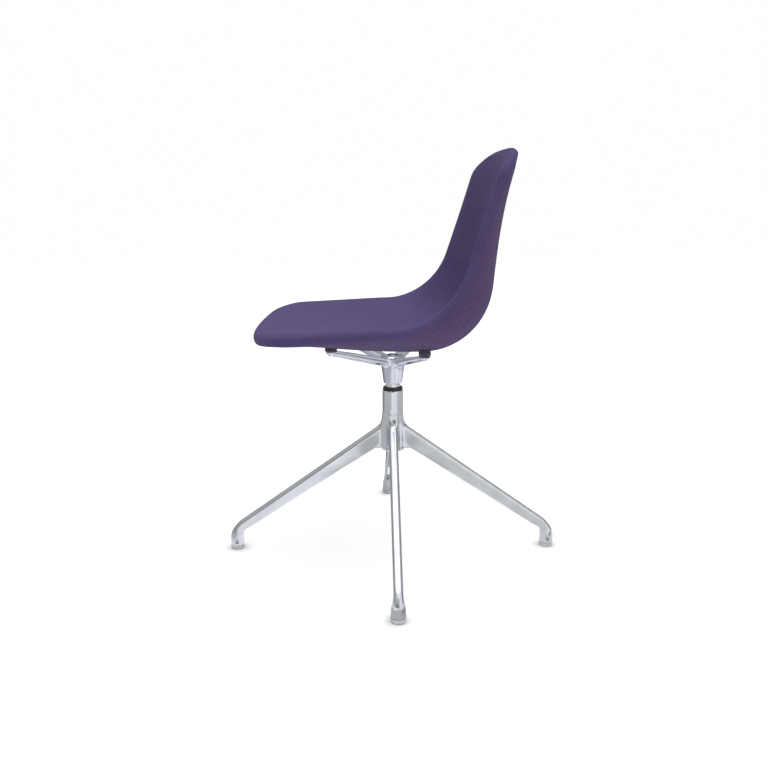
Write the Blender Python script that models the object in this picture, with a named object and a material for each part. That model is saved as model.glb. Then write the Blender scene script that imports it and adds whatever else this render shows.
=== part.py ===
"""Upholstered swivel chair on a polished aluminium four-star base.

Metres, +Z up. The origin is on the floor under the swivel axis. The chair faces -Y,
and its legs point along +X, -X, +Y and -Y. X = 0 is the chair's mirror plane.
"""
import math

import bpy
import bmesh
import numpy as np
from mathutils import Matrix, Vector

# Fits
GAP = 0.0003                # between pieces that touch
RUNNING_GAP = 0.0004        # between the turning pieces
CUTTER_OVERRUN = 0.0050     # how far a cutting tool runs past what it cuts

# Base casting: column
COLUMN_RADIUS = 0.0205
COLUMN_HEIGHT = 0.1210
COLUMN_STAND_OUT = 0.0015   # column below the legs' underside
COLUMN_EDGE = 0.0008
BORE_RADIUS = 0.0155
COUNTERBORE_RADIUS = 0.0172
COUNTERBORE_DEPTH = 0.0140

# Base casting: legs, drawn in each leg's own upright plane
LEG_COUNT = 4
LEG_WIDTH = 0.0190
LEG_BOTTOM_WIDTH = 0.0150
LEG_CROWN = 0.0080          # height of the rounded top of a leg's section
LEG_CORNER = 0.0025
LEG_TOP_AT_COLUMN = 0.2658  # height where the leg's top line would meet the column
LEG_ROOT_DEPTH = 0.0538     # from there to the flat underside
LEG_UNDERSIDE = LEG_TOP_AT_COLUMN - LEG_ROOT_DEPTH
LEG_KNEE = 0.0353           # radius where the underside starts to slope
FOOT_TOP_KNEE = 0.0434      # height where the leg's top line would meet the foot's outside
FOOT_UNDER_KNEE = 0.0368    # height where its underside would meet the foot's inside
LEG_ROOT = 0.0105           # radius where the leg's section starts inside the column
COLUMN_FILLET = 0.035       # concave radius between column and leg top
FOOT_RADIUS = 0.01365
FOOT_CENTRE = 0.3198        # distance from the axis to a foot's centre
FOOT_OUTER_BEND = 0.058
FOOT_INNER_BEND = 0.014
FOOT_FLARE_TOP = 0.046      # height where a foot starts to swell to its round end
CHANNEL_WALL = 0.0032       # wall beside the channel in a leg's underside
CHANNEL_ROOF = 0.0090       # metal left above the channel
CHANNEL_START = 0.048
CHANNEL_END = 0.262

# Base casting: the webs in the corners between two legs
WEB_FILLET = 0.014
WEB_TOP_FILLET = 0.010
WEB_DROP = 0.0158           # webs' top below the legs' top line at the column
WEB_TOP = LEG_TOP_AT_COLUMN - WEB_DROP
COLUMN_BOTTOM = LEG_UNDERSIDE - COLUMN_STAND_OUT
COLUMN_TOP = COLUMN_BOTTOM + COLUMN_HEIGHT
FOOT_OUTSIDE = FOOT_CENTRE + FOOT_RADIUS
FOOT_INSIDE = FOOT_CENTRE - FOOT_RADIUS
LEG_TOP_SLOPE = math.atan2(LEG_TOP_AT_COLUMN - FOOT_TOP_KNEE, FOOT_OUTSIDE - COLUMN_RADIUS)
LEG_BOTTOM_SLOPE = math.atan2(LEG_UNDERSIDE - FOOT_UNDER_KNEE, FOOT_INSIDE - LEG_KNEE)

# Feet
GLIDE_HEIGHT = 0.0072
GLIDE_EDGE = 0.0010
STEM_RADIUS = 0.0055
STEM_TOP = 0.0265
PIN_RADIUS = 0.0019
PIN_HEIGHT = 0.0170
PIN_RECESS = 0.0010

# Swivel bearing
SPINDLE_RADIUS = 0.0125
NECK_RADIUS = 0.0144
COLLAR_HEIGHT = 0.0090      # the upper bush's flange
COLLAR_TOP = COLUMN_TOP + COLLAR_HEIGHT
COLLAR_RADIUS = 0.0195
NECK_SHOWN = 0.0065         # bright steel between the flange and the hub
NECK_SEAT = 0.0090          # neck inside the hub
SPIGOT_LENGTH = 0.0340
UPPER_BUSH_LENGTH = 0.0320
LOWER_BUSH_LENGTH = 0.0240
LOWER_FLANGE = 0.0022
THRUST_WASHER = 0.0022
RING_THICKNESS = 0.0015
RING_RADIUS = 0.0150
GROOVE_DEPTH = 0.0012
SPINDLE_END = 0.0016        # steel below the retaining ring
PLUG_THICKNESS = 0.0022

# Seat spider
HUB_BOTTOM = COLLAR_TOP + NECK_SHOWN
NECK_TOP = HUB_BOTTOM + NECK_SEAT
SPIGOT_TOP = NECK_TOP + SPIGOT_LENGTH
HUB_BOTTOM_RADIUS = 0.0184
HUB_SHOULDER = HUB_BOTTOM + 0.0310
HUB_SHOULDER_RADIUS = 0.0222
HUB_TOP = HUB_BOTTOM + 0.0540
HUB_TOP_RADIUS = 0.0200
HUB_EDGE = 0.0010
CAP_COUNTERBORE_RADIUS = 0.0105
CAP_COUNTERBORE_DEPTH = 0.0070
CAP_HOLE_RADIUS = 0.0045
ARM_SPAN = 0.1000           # mounts' distance from the mirror plane
FRONT_MOUNT_Y = -0.1180
REAR_MOUNT_Y = 0.0560
FRONT_ARM_RISE = 0.0298     # from the hub's top to the pads
REAR_ARM_RISE = 0.0185
ARM_ROOT_DEPTH = 0.0178
FRONT_TIP_DEPTH = 0.0063
REAR_TIP_DEPTH = 0.0040
FRONT_PAD_TOP = HUB_TOP + FRONT_ARM_RISE
REAR_PAD_TOP = HUB_TOP + REAR_ARM_RISE
ARM_ROOT_BOTTOM = HUB_TOP - ARM_ROOT_DEPTH      # the arms' straight underside runs from here
FRONT_TIP_BOTTOM = FRONT_PAD_TOP - FRONT_TIP_DEPTH
REAR_TIP_BOTTOM = REAR_PAD_TOP - REAR_TIP_DEPTH
ARM_ROOT_WIDTH = 0.0230
ARM_ROOT = 0.0040           # radius where an arm starts inside the hub
ARM_ROOT_DROP = 0.0020      # how far its top starts below the hub's
ARM_TIP_WIDTH = 0.0200
PAD_OVERHANG = 0.0100       # arm beyond the mount's centre
SCREW_HOLE_RADIUS = 0.0036

# Fasteners
SCREW_RADIUS = 0.0029
SCREW_HEAD_RADIUS = 0.0050
SCREW_HEAD_HEIGHT = 0.0028
SCREW_HEX = 0.0020
SCREW_REACH = 0.0060        # thread inside the insert
WASHER_RADIUS = 0.0062
WASHER_THICKNESS = 0.0008
INSERT_RADIUS = 0.0046
INSERT_LENGTH = 0.0070
SPACER_TOP_RADIUS = 0.0120
SPACER_BOTTOM_RADIUS = 0.0108
CAP_SCREW_RADIUS = 0.0038
CAP_SCREW_HEAD_RADIUS = 0.0072
CAP_SCREW_HEX = 0.0028
CAP_SCREW_HEAD_HEIGHT = 0.0045
CAP_SCREW_LENGTH = 0.0300
CAP_SCREW_POINT = 0.0020     # free depth of thread below the screw
CAP_WASHER_RADIUS = 0.0098
CAP_WASHER_THICKNESS = 0.0015

# Upholstered shell: side profiles of the padded surface, each a seat line, a bend and a back line
SHELL_LEVEL = FRONT_PAD_TOP
CENTRE_START = (-0.2527, SHELL_LEVEL + 0.0391)      # Y and Z of the front edge, on the mirror plane
CENTRE_CORNER = (0.1583, SHELL_LEVEL + 0.0182)      # where seat line and back line would meet
CENTRE_BEND = 0.1020
CENTRE_LEAN = math.radians(3.8)
CENTRE_TOP = SHELL_LEVEL + 0.3589
CENTRE_CURL = 0.0200        # how far the back line curls rearwards towards the top
RIM_START = (-0.2270, SHELL_LEVEL + 0.0511)
RIM_CORNER = (0.0915, SHELL_LEVEL + 0.0667)
RIM_BEND = 0.1330
RIM_LEAN = math.radians(16.4)
RIM_TOP = SHELL_LEVEL + 0.3436
RIM_CURL = 0.0
DISH_POWER = 2.08           # how late the surface rises towards the rim
SEAT_HALF_WIDTH = 0.2040    # to the start of the rolled edge
BACK_HALF_WIDTH = 0.1840
FRONT_CORNER = (0.0636, 0.0374)     # corner radii along X and along the profile
TOP_CORNER = (0.0978, 0.0261)
EDGE_THICKNESS = 0.0261
SEAT_BULGE = 0.0152         # extra thickness of the seat's middle
BULGE_PLACE = 0.314         # share of the profile where the seat is thickest
BULGE_REACH = 0.34

# Upholstered shell: layers
FABRIC = 0.0012
BACK_COVER = 0.0030         # fabric laminated to thin foam
SHELL_THICKNESS = 0.0050
SHELL_EDGE = 0.0040         # how far the shell runs past the start of the rolled edge
SEAM_ANGLE = math.radians(-55.0)
SEAM_GAP = 0.0004
BOSS_RADIUS = 0.0112
BOSS_STAND_OUT = 0.0008     # boss below the cover at its lowest point
FOAM_LIP_SHORT = 0.35       # share of the last step round the edge that the foam stops short

# Mesh counts
CORNER_ROWS = 4
MIDDLE_ROWS = 13
COLUMNS = 12
ROLL_STEPS = 4
ROUND_STEPS = 24
SMALL_ROUND_STEPS = 12


for old in list(bpy.data.objects):
    bpy.data.objects.remove(old, do_unlink=True)


def material(name, colour, roughness, metallic):
    """One Principled material."""
    made = bpy.data.materials.new(name)
    made.use_nodes = True
    made.diffuse_color = (*colour, 1.0)
    shader = made.node_tree.nodes["Principled BSDF"]
    shader.inputs["Base Color"].default_value = (*colour, 1.0)
    shader.inputs["Roughness"].default_value = roughness
    shader.inputs["Metallic"].default_value = metallic
    return made


POLISHED_ALUMINIUM = material("polished_aluminium", (0.72, 0.73, 0.76), 0.16, 1.0)
BRIGHT_STEEL = material("bright_steel", (0.66, 0.66, 0.67), 0.22, 1.0)
ZINC_STEEL = material("zinc_plated_steel", (0.55, 0.55, 0.55), 0.35, 1.0)
BRASS = material("brass", (0.66, 0.48, 0.22), 0.35, 1.0)
BLACK_NYLON = material("black_nylon", (0.010, 0.010, 0.011), 0.42, 0.0)
DARK_NYLON = material("dark_violet_nylon", (0.035, 0.025, 0.050), 0.48, 0.0)
GLIDE_PLASTIC = material("grey_glide_plastic", (0.42, 0.43, 0.45), 0.38, 0.0)
SHELL_PLASTIC = material("black_polypropylene", (0.020, 0.020, 0.022), 0.50, 0.0)
FOAM = material("cold_cure_foam", (0.62, 0.58, 0.44), 0.90, 0.0)
VIOLET_FABRIC = material("violet_fabric", (0.105, 0.080, 0.185), 0.85, 0.0)
VIOLET_BACK_FABRIC = material("violet_back_fabric", (0.080, 0.060, 0.130), 0.88, 0.0)


def add_object(name, verts, faces, finish, smooth=True):
    """A closed mesh with its faces turned outwards."""
    mesh = bpy.data.meshes.new(name)
    mesh.from_pydata([tuple(v) for v in verts], [], [tuple(f) for f in faces])
    work = bmesh.new()
    work.from_mesh(mesh)
    bmesh.ops.remove_doubles(work, verts=work.verts, dist=1e-7)
    bmesh.ops.recalc_face_normals(work, faces=work.faces)
    work.to_mesh(mesh)
    work.free()
    mesh.materials.append(finish)
    if smooth:
        mesh.shade_smooth()
        mesh.set_sharp_from_angle(angle=math.radians(35))
    made = bpy.data.objects.new(name, mesh)
    bpy.context.scene.collection.objects.link(made)
    return made


def move(verts, matrix):
    """Vertices carried by a matrix."""
    turned = np.asarray(verts, float) @ np.array(matrix.to_3x3()).T
    return turned + np.array(matrix.translation)


def turn(angle):
    """Rotation about the swivel axis."""
    return Matrix.Rotation(angle, 4, "Z")


def join(pieces):
    """Several vertex and face lists as one."""
    verts = []
    faces = []
    for piece_verts, piece_faces in pieces:
        start = len(verts)
        verts.extend(tuple(v) for v in piece_verts)
        faces.extend([index + start for index in face] for face in piece_faces)
    return verts, faces


def ring_faces(first, second, count):
    """Quads between two closed rings of vertices."""
    faces = []
    for k in range(count):
        after = (k + 1) % count
        faces.append([first + k, first + after, second + after, second + k])
    return faces


def turned(outline, steps):
    """A solid of revolution about Z. The outline is a list of (radius, z).

    An outline that starts and ends on the axis makes a solid one, any other closes on
    itself and makes a tube.
    """
    solid = outline[0][0] == 0.0
    rings = outline[1:-1] if solid else outline
    angles = np.arange(steps) * 2 * math.pi / steps
    verts = []
    for radius, height in rings:
        for angle in angles:
            verts.append((radius * math.cos(angle), radius * math.sin(angle), height))
    faces = []
    for k in range(len(rings) - 1):
        faces += ring_faces(k * steps, (k + 1) * steps, steps)
    last = (len(rings) - 1) * steps
    if solid:
        faces.append(list(range(steps)))
        faces.append(list(range(last, last + steps)))
    else:
        faces += ring_faces(last, 0, steps)
    return verts, faces


def rod(radius, low, high, steps=SMALL_ROUND_STEPS):
    """A plain cylinder along Z."""
    return turned([(0.0, low), (radius, low), (radius, high), (0.0, high)], steps)


def lofted(sections):
    """A solid through equal rings of points, capped at both ends."""
    count = len(sections[0])
    verts = [tuple(point) for section in sections for point in section]
    faces = []
    for k in range(len(sections) - 1):
        faces += ring_faces(k * count, (k + 1) * count, count)
    last = (len(sections) - 1) * count
    faces.append(list(range(count)))
    faces.append(list(range(last, last + count)))
    return verts, faces


def boolean(target, tool_parts, operation, name):
    """Cut from, or join to, an object, with a hidden tool object."""
    tool = add_object(name, *join(tool_parts), target.data.materials[0], smooth=False)
    tool.hide_render = True
    tool.display_type = "WIRE"
    change = target.modifiers.new(name, "BOOLEAN")
    change.operation = operation
    change.solver = "EXACT"
    change.object = tool


def at(x, y, z=0.0):
    """Shift matrix."""
    return Matrix.Translation(Vector((x, y, z)))


# Base casting

def fillet_arc(corner, along_in, along_out, radius, steps):
    """Points of a round corner between two directions that leave the corner."""
    first = Vector(along_in).normalized()
    second = Vector(along_out).normalized()
    half = first.angle(second) / 2
    reach = radius / math.tan(half)
    centre = Vector(corner) + (first + second).normalized() * radius / math.sin(half)
    start = Vector(corner) + first * reach - centre
    end = Vector(corner) + second * reach - centre
    sweep = start.angle(end)
    points = []
    for k in range(steps + 1):
        share = k / steps
        mixed = start * math.sin((1 - share) * sweep) + end * math.sin(share * sweep)
        points.append(centre + mixed / math.sin(sweep))
    return points


def leg_top_line(radius):
    return LEG_TOP_AT_COLUMN - math.tan(LEG_TOP_SLOPE) * (radius - COLUMN_RADIUS)


def leg_bottom_line(radius):
    return LEG_UNDERSIDE - math.tan(LEG_BOTTOM_SLOPE) * (radius - LEG_KNEE)


def leg_stations():
    """Pairs of points, top and bottom of the leg's section, in (radius, z)."""
    down = (math.cos(LEG_TOP_SLOPE), -math.sin(LEG_TOP_SLOPE))
    top_fillet = fillet_arc((COLUMN_RADIUS, LEG_TOP_AT_COLUMN), (0.0, 1.0), down, COLUMN_FILLET, 4)
    start = Vector((LEG_ROOT, top_fillet[0].y))
    tops = [start, *top_fillet]
    knees = np.linspace(COLUMN_RADIUS, LEG_KNEE, len(top_fillet))
    bottoms = [Vector((LEG_ROOT, LEG_UNDERSIDE))]
    bottoms += [Vector((knee, LEG_UNDERSIDE)) for knee in knees]
    outer = FOOT_OUTSIDE
    inner = FOOT_INSIDE
    up_bottom = (-math.cos(LEG_BOTTOM_SLOPE), math.sin(LEG_BOTTOM_SLOPE))
    up_top = (-math.cos(LEG_TOP_SLOPE), math.sin(LEG_TOP_SLOPE))
    tops += fillet_arc((outer, leg_top_line(outer)), up_top, (0.0, -1.0), FOOT_OUTER_BEND, 6)
    bottoms += fillet_arc((inner, leg_bottom_line(inner)), up_bottom, (0.0, -1.0), FOOT_INNER_BEND, 6)
    foot_end = GLIDE_HEIGHT + GAP
    tops.append(Vector((outer, foot_end)))
    bottoms.append(Vector((inner, foot_end)))
    return list(zip(tops, bottoms))


def leg_outline(depth, width, bottom_width, roundness):
    """The leg's section, (sideways, up), from a crowned bar at 0 to a circle at 1."""
    crown = min(LEG_CROWN, depth / 2)
    bar = []
    for angle in np.linspace(0, math.pi, 9):
        bar.append((math.cos(angle) * width / 2, depth - crown + crown * math.sin(angle)))
    corner = LEG_CORNER
    half = bottom_width / 2
    bar += [(-half, corner), (corner - half, 0.0), (half - corner, 0.0), (half, corner)]
    angles = [*np.linspace(0, math.pi, 9), *np.radians([216, 252, 288, 324])]
    circle = [(math.cos(a) * width / 2, depth / 2 + depth / 2 * math.sin(a)) for a in angles]
    bar = np.array(bar)
    return bar + (np.array(circle) - bar) * roundness


def smooth_step(value):
    value = min(max(value, 0.0), 1.0)
    return value * value * (3 - 2 * value)


def leg_sections():
    """The leg as rings of points around its path, pointing along +X."""
    sections = []
    for top, bottom in leg_stations():
        swell = smooth_step((FOOT_FLARE_TOP - top.y) / (FOOT_FLARE_TOP - 2 * GLIDE_HEIGHT))
        width = LEG_WIDTH + (2 * FOOT_RADIUS - LEG_WIDTH) * swell
        base_width = LEG_BOTTOM_WIDTH + (2 * FOOT_RADIUS - LEG_BOTTOM_WIDTH) * swell
        depth = (top - bottom).length
        up = (top - bottom).normalized()
        ring = []
        for side, rise in leg_outline(depth, width, base_width, swell):
            place = bottom + up * rise
            ring.append((place.x, side, place.y))
        sections.append(ring)
    return sections


def channel_sections():
    """The channel that lightens a leg from below, as a tapered bar."""
    half = LEG_BOTTOM_WIDTH / 2 - CHANNEL_WALL
    fall = Vector((-math.sin(LEG_BOTTOM_SLOPE), -math.cos(LEG_BOTTOM_SLOPE)))
    slope_gap = math.cos(LEG_TOP_SLOPE)
    sections = []
    for radius in (CHANNEL_START, CHANNEL_END):
        roof = Vector((radius, leg_top_line(radius) - CHANNEL_ROOF / slope_gap))
        mouth = Vector((radius, leg_bottom_line(radius))) + fall * CUTTER_OVERRUN
        sections.append([
            (roof.x, -half * 0.8, roof.y),
            (roof.x, half * 0.8, roof.y),
            (mouth.x, half, mouth.y),
            (mouth.x, -half, mouth.y),
        ])
    return sections


def web_outline(fillet):
    """Plan of the hub: concave corners between the legs' sides."""
    half = LEG_WIDTH / 2 - 0.0015
    centre = half + fillet
    points = []
    for k in range(LEG_COUNT):
        for angle in np.linspace(math.radians(262), math.radians(188), 5):
            x = centre + fillet * math.cos(angle)
            y = centre + fillet * math.sin(angle)
            points.append(turn(k * math.pi / 2) @ Vector((x, y, 0.0)))
    return points


def web_solid():
    """The webs as one drafted block."""
    low = [(p.x, p.y, LEG_UNDERSIDE + GAP) for p in web_outline(WEB_FILLET)]
    high = [(p.x, p.y, WEB_TOP) for p in web_outline(WEB_TOP_FILLET)]
    return lofted([low, high])


def leg_turns():
    return [turn(k * 2 * math.pi / LEG_COUNT) for k in range(LEG_COUNT)]


def around(solid, places):
    """Copies of one solid at several matrices."""
    verts, faces = solid
    return [(move(verts, place), faces) for place in places]


def crossways(solid, radius, height):
    """Lay a Z solid along Y, at a leg's foot."""
    verts, faces = solid
    lay = at(radius, 0.0, height) @ Matrix.Rotation(math.pi / 2, 4, "X")
    return move(verts, lay), faces


def build_base():
    edge = COLUMN_EDGE
    outline = [
        (0.0, COLUMN_BOTTOM),
        (COLUMN_RADIUS - edge, COLUMN_BOTTOM),
        (COLUMN_RADIUS, COLUMN_BOTTOM + edge),
        (COLUMN_RADIUS, COLUMN_TOP - edge),
        (COLUMN_RADIUS - edge, COLUMN_TOP),
        (0.0, COLUMN_TOP),
    ]
    casting = add_object("base_casting", *turned(outline, ROUND_STEPS), POLISHED_ALUMINIUM)
    legs = around(lofted(leg_sections()), leg_turns())
    boolean(casting, legs, "UNION", "leg_joiner")
    boolean(casting, [web_solid()], "UNION", "web_joiner")
    counterbore_top = COLUMN_BOTTOM + COUNTERBORE_DEPTH
    bore = turned([
        (0.0, COLUMN_BOTTOM - CUTTER_OVERRUN),
        (COUNTERBORE_RADIUS, COLUMN_BOTTOM - CUTTER_OVERRUN),
        (COUNTERBORE_RADIUS, counterbore_top),
        (BORE_RADIUS, counterbore_top),
        (BORE_RADIUS, COLUMN_TOP + CUTTER_OVERRUN),
        (0.0, COLUMN_TOP + CUTTER_OVERRUN),
    ], ROUND_STEPS)
    channels = around(lofted(channel_sections()), leg_turns())
    socket = rod(STEM_RADIUS + GAP, 0.0, STEM_TOP + GAP)
    sockets = around((move(socket[0], at(FOOT_CENTRE, 0.0)), socket[1]), leg_turns())
    hole_reach = FOOT_RADIUS + CUTTER_OVERRUN
    pin_hole = crossways(rod(PIN_RADIUS + GAP, -hole_reach, hole_reach), FOOT_CENTRE, PIN_HEIGHT)
    boolean(casting, [bore, *channels], "DIFFERENCE", "bore_cutter")
    boolean(casting, sockets, "DIFFERENCE", "socket_cutter")
    boolean(casting, around(pin_hole, leg_turns()), "DIFFERENCE", "pin_hole_cutter")


def build_feet():
    """Glides with a stem that a cross pin holds in the foot."""
    outline = [
        (0.0, 0.0),
        (FOOT_RADIUS - 2 * GLIDE_EDGE, 0.0),
        (FOOT_RADIUS - GLIDE_EDGE / 2, GLIDE_EDGE),
        (FOOT_RADIUS, GLIDE_HEIGHT),
        (STEM_RADIUS, GLIDE_HEIGHT),
        (STEM_RADIUS, STEM_TOP),
        (0.0, STEM_TOP),
    ]
    glide = turned(outline, 24)
    hole_reach = STEM_RADIUS + CUTTER_OVERRUN
    hole = crossways(rod(PIN_RADIUS + GAP, -hole_reach, hole_reach), FOOT_CENTRE, PIN_HEIGHT)
    pin_half = FOOT_RADIUS - PIN_RECESS
    pin = crossways(rod(PIN_RADIUS, -pin_half, pin_half, 12), FOOT_CENTRE, PIN_HEIGHT)
    for name, place in zip(("left", "rear", "right", "front"), leg_turns()):
        shifted = move(glide[0], place @ at(FOOT_CENTRE, 0.0))
        foot = add_object("foot_glide_" + name, shifted, glide[1], GLIDE_PLASTIC)
        boolean(foot, around(hole, [place]), "DIFFERENCE", "glide_hole_cutter_" + name)
        add_object("glide_pin_" + name, move(pin[0], place), pin[1], BRIGHT_STEEL)


# Swivel bearing

FLANGE_FLOOR = COLUMN_BOTTOM + COUNTERBORE_DEPTH - GAP - LOWER_FLANGE
WASHER_FLOOR = FLANGE_FLOOR - GAP - THRUST_WASHER
RING_FLOOR = WASHER_FLOOR - GAP - RING_THICKNESS
SPINDLE_FLOOR = RING_FLOOR - SPINDLE_END


def build_bearing():
    inner = SPINDLE_RADIUS + RUNNING_GAP
    outer = BORE_RADIUS - GAP
    flange_low = COLUMN_TOP + GAP
    flange_edge = 0.0015
    add_object("upper_bush", *turned([
        (inner, flange_low - UPPER_BUSH_LENGTH),
        (outer, flange_low - UPPER_BUSH_LENGTH),
        (outer, flange_low),
        (COLLAR_RADIUS, flange_low),
        (COLLAR_RADIUS + 0.0004, (flange_low + COLLAR_TOP) / 2),
        (COLLAR_RADIUS - flange_edge, COLLAR_TOP),
        (inner, COLLAR_TOP),
    ], ROUND_STEPS), BLACK_NYLON)
    counter = COUNTERBORE_RADIUS - GAP
    add_object("lower_bush", *turned([
        (inner, FLANGE_FLOOR),
        (counter, FLANGE_FLOOR),
        (counter, FLANGE_FLOOR + LOWER_FLANGE),
        (outer, FLANGE_FLOOR + LOWER_FLANGE),
        (outer, FLANGE_FLOOR + LOWER_BUSH_LENGTH),
        (inner, FLANGE_FLOOR + LOWER_BUSH_LENGTH),
    ], ROUND_STEPS), BLACK_NYLON)
    add_object("thrust_washer", *turned([
        (inner, WASHER_FLOOR),
        (counter, WASHER_FLOOR),
        (counter, WASHER_FLOOR + THRUST_WASHER),
        (inner, WASHER_FLOOR + THRUST_WASHER),
    ], ROUND_STEPS), ZINC_STEEL)
    build_retaining_ring()
    build_spindle()
    plug_top = SPINDLE_FLOOR - RUNNING_GAP
    add_object("column_plug", *turned([
        (0.0, plug_top - PLUG_THICKNESS),
        (counter - 0.0006, plug_top - PLUG_THICKNESS),
        (counter, plug_top - PLUG_THICKNESS + 0.0006),
        (counter, plug_top),
        (0.0, plug_top),
    ], ROUND_STEPS), BLACK_NYLON)


def build_retaining_ring():
    """An open spring ring in the spindle's groove, a C with two rounded ends."""
    inner = SPINDLE_RADIUS - GROOVE_DEPTH + GAP
    opening = math.radians(38)
    angles = np.linspace(opening, 2 * math.pi - opening, 25)
    sections = []
    for angle in angles:
        out = np.array((math.cos(angle), math.sin(angle)))
        corners = []
        for radius, height in ((inner, 0.0), (RING_RADIUS, 0.0), (RING_RADIUS, 1.0), (inner, 1.0)):
            corners.append((*(out * radius), RING_FLOOR + height * RING_THICKNESS))
        sections.append(corners)
    add_object("retaining_ring", *lofted(sections), ZINC_STEEL)


def build_spindle():
    groove = SPINDLE_RADIUS - GROOVE_DEPTH
    groove_low = RING_FLOOR - GAP
    groove_high = RING_FLOOR + RING_THICKNESS + GAP
    spindle = add_object("spindle", *turned([
        (0.0, SPINDLE_FLOOR),
        (SPINDLE_RADIUS - 0.0005, SPINDLE_FLOOR),
        (SPINDLE_RADIUS, SPINDLE_FLOOR + 0.0005),
        (SPINDLE_RADIUS, groove_low),
        (groove, groove_low),
        (groove, groove_high),
        (SPINDLE_RADIUS, groove_high),
        (SPINDLE_RADIUS, COLLAR_TOP + GAP),
        (NECK_RADIUS, COLLAR_TOP + GAP),
        (NECK_RADIUS, NECK_TOP),
        (SPINDLE_RADIUS, NECK_TOP),
        (SPINDLE_RADIUS - 0.0010, SPIGOT_TOP),
        (0.0, SPIGOT_TOP),
    ], ROUND_STEPS), BRIGHT_STEEL)
    thread = rod(CAP_SCREW_RADIUS + GAP, SPIGOT_TOP - CAP_SCREW_LENGTH, SPIGOT_TOP + CUTTER_OVERRUN)
    boolean(spindle, [thread], "DIFFERENCE", "thread_cutter")


# Seat spider

MOUNTS = [
    ("front_left", ARM_SPAN, FRONT_MOUNT_Y, FRONT_PAD_TOP, FRONT_TIP_BOTTOM),
    ("front_right", -ARM_SPAN, FRONT_MOUNT_Y, FRONT_PAD_TOP, FRONT_TIP_BOTTOM),
    ("rear_left", ARM_SPAN, REAR_MOUNT_Y, REAR_PAD_TOP, REAR_TIP_BOTTOM),
    ("rear_right", -ARM_SPAN, REAR_MOUNT_Y, REAR_PAD_TOP, REAR_TIP_BOTTOM),
]
PAD_FLAT = SPACER_BOTTOM_RADIUS + 0.0010    # level stretch of arm under a spacer


def arm_outline(width, depth):
    """Flat top with eased edges over a rounded belly, (sideways, up) from the top."""
    half = width / 2
    ease = 0.15 * depth
    points = [(half - ease, 0.0), (half, -ease)]
    for angle in np.linspace(0, -math.pi, 8)[1:-1]:
        points.append((half * math.cos(angle), -ease + (depth - ease) * math.sin(angle)))
    points += [(-half, -ease), (ease - half, 0.0)]
    return points


def arm_bottom(x, y, tip_bottom, beyond):
    """Height of an arm's underside, this far beyond its mount's centre."""
    run = math.hypot(x, y) + PAD_OVERHANG - HUB_TOP_RADIUS
    share = (run + beyond - PAD_OVERHANG) / run
    return ARM_ROOT_BOTTOM + (tip_bottom - ARM_ROOT_BOTTOM) * share


def arm_sections(x, y, pad_top, tip_bottom):
    """One arm from inside the hub to its rounded tip."""
    reach = math.hypot(x, y)
    out = np.array((x, y)) / reach
    across = np.array((-out[1], out[0]))
    pad_start = reach - PAD_FLAT
    stations = [ARM_ROOT]
    stations += list(np.linspace(HUB_TOP_RADIUS, pad_start, 6))
    stations += [reach]
    stations += [reach + PAD_OVERHANG * math.sin(a) for a in np.radians((30, 55, 75, 88))]
    sections = []
    for station in stations:
        share = min(max((station - HUB_TOP_RADIUS) / (pad_start - HUB_TOP_RADIUS), 0.0), 1.0)
        height = HUB_TOP + (pad_top - HUB_TOP) * share
        depth = height - arm_bottom(x, y, tip_bottom, max(station, HUB_TOP_RADIUS) - reach)
        width = ARM_ROOT_WIDTH + (ARM_TIP_WIDTH - ARM_ROOT_WIDTH) * share
        if station < HUB_TOP_RADIUS:
            height -= ARM_ROOT_DROP
        if station > reach:
            width *= math.sqrt(1 - ((station - reach) / PAD_OVERHANG) ** 2)
        ring = []
        for side, rise in arm_outline(width, depth):
            place = out * station + across * side
            ring.append((place[0], place[1], height + rise))
        sections.append(ring)
    return sections


def screw_seat(x, y, tip_bottom):
    """Height of the counterbore's floor, so deep that it sinks a screw's head."""
    return arm_bottom(x, y, tip_bottom, 0.0) + WASHER_THICKNESS + SCREW_HEAD_HEIGHT + 3 * GAP


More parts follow.
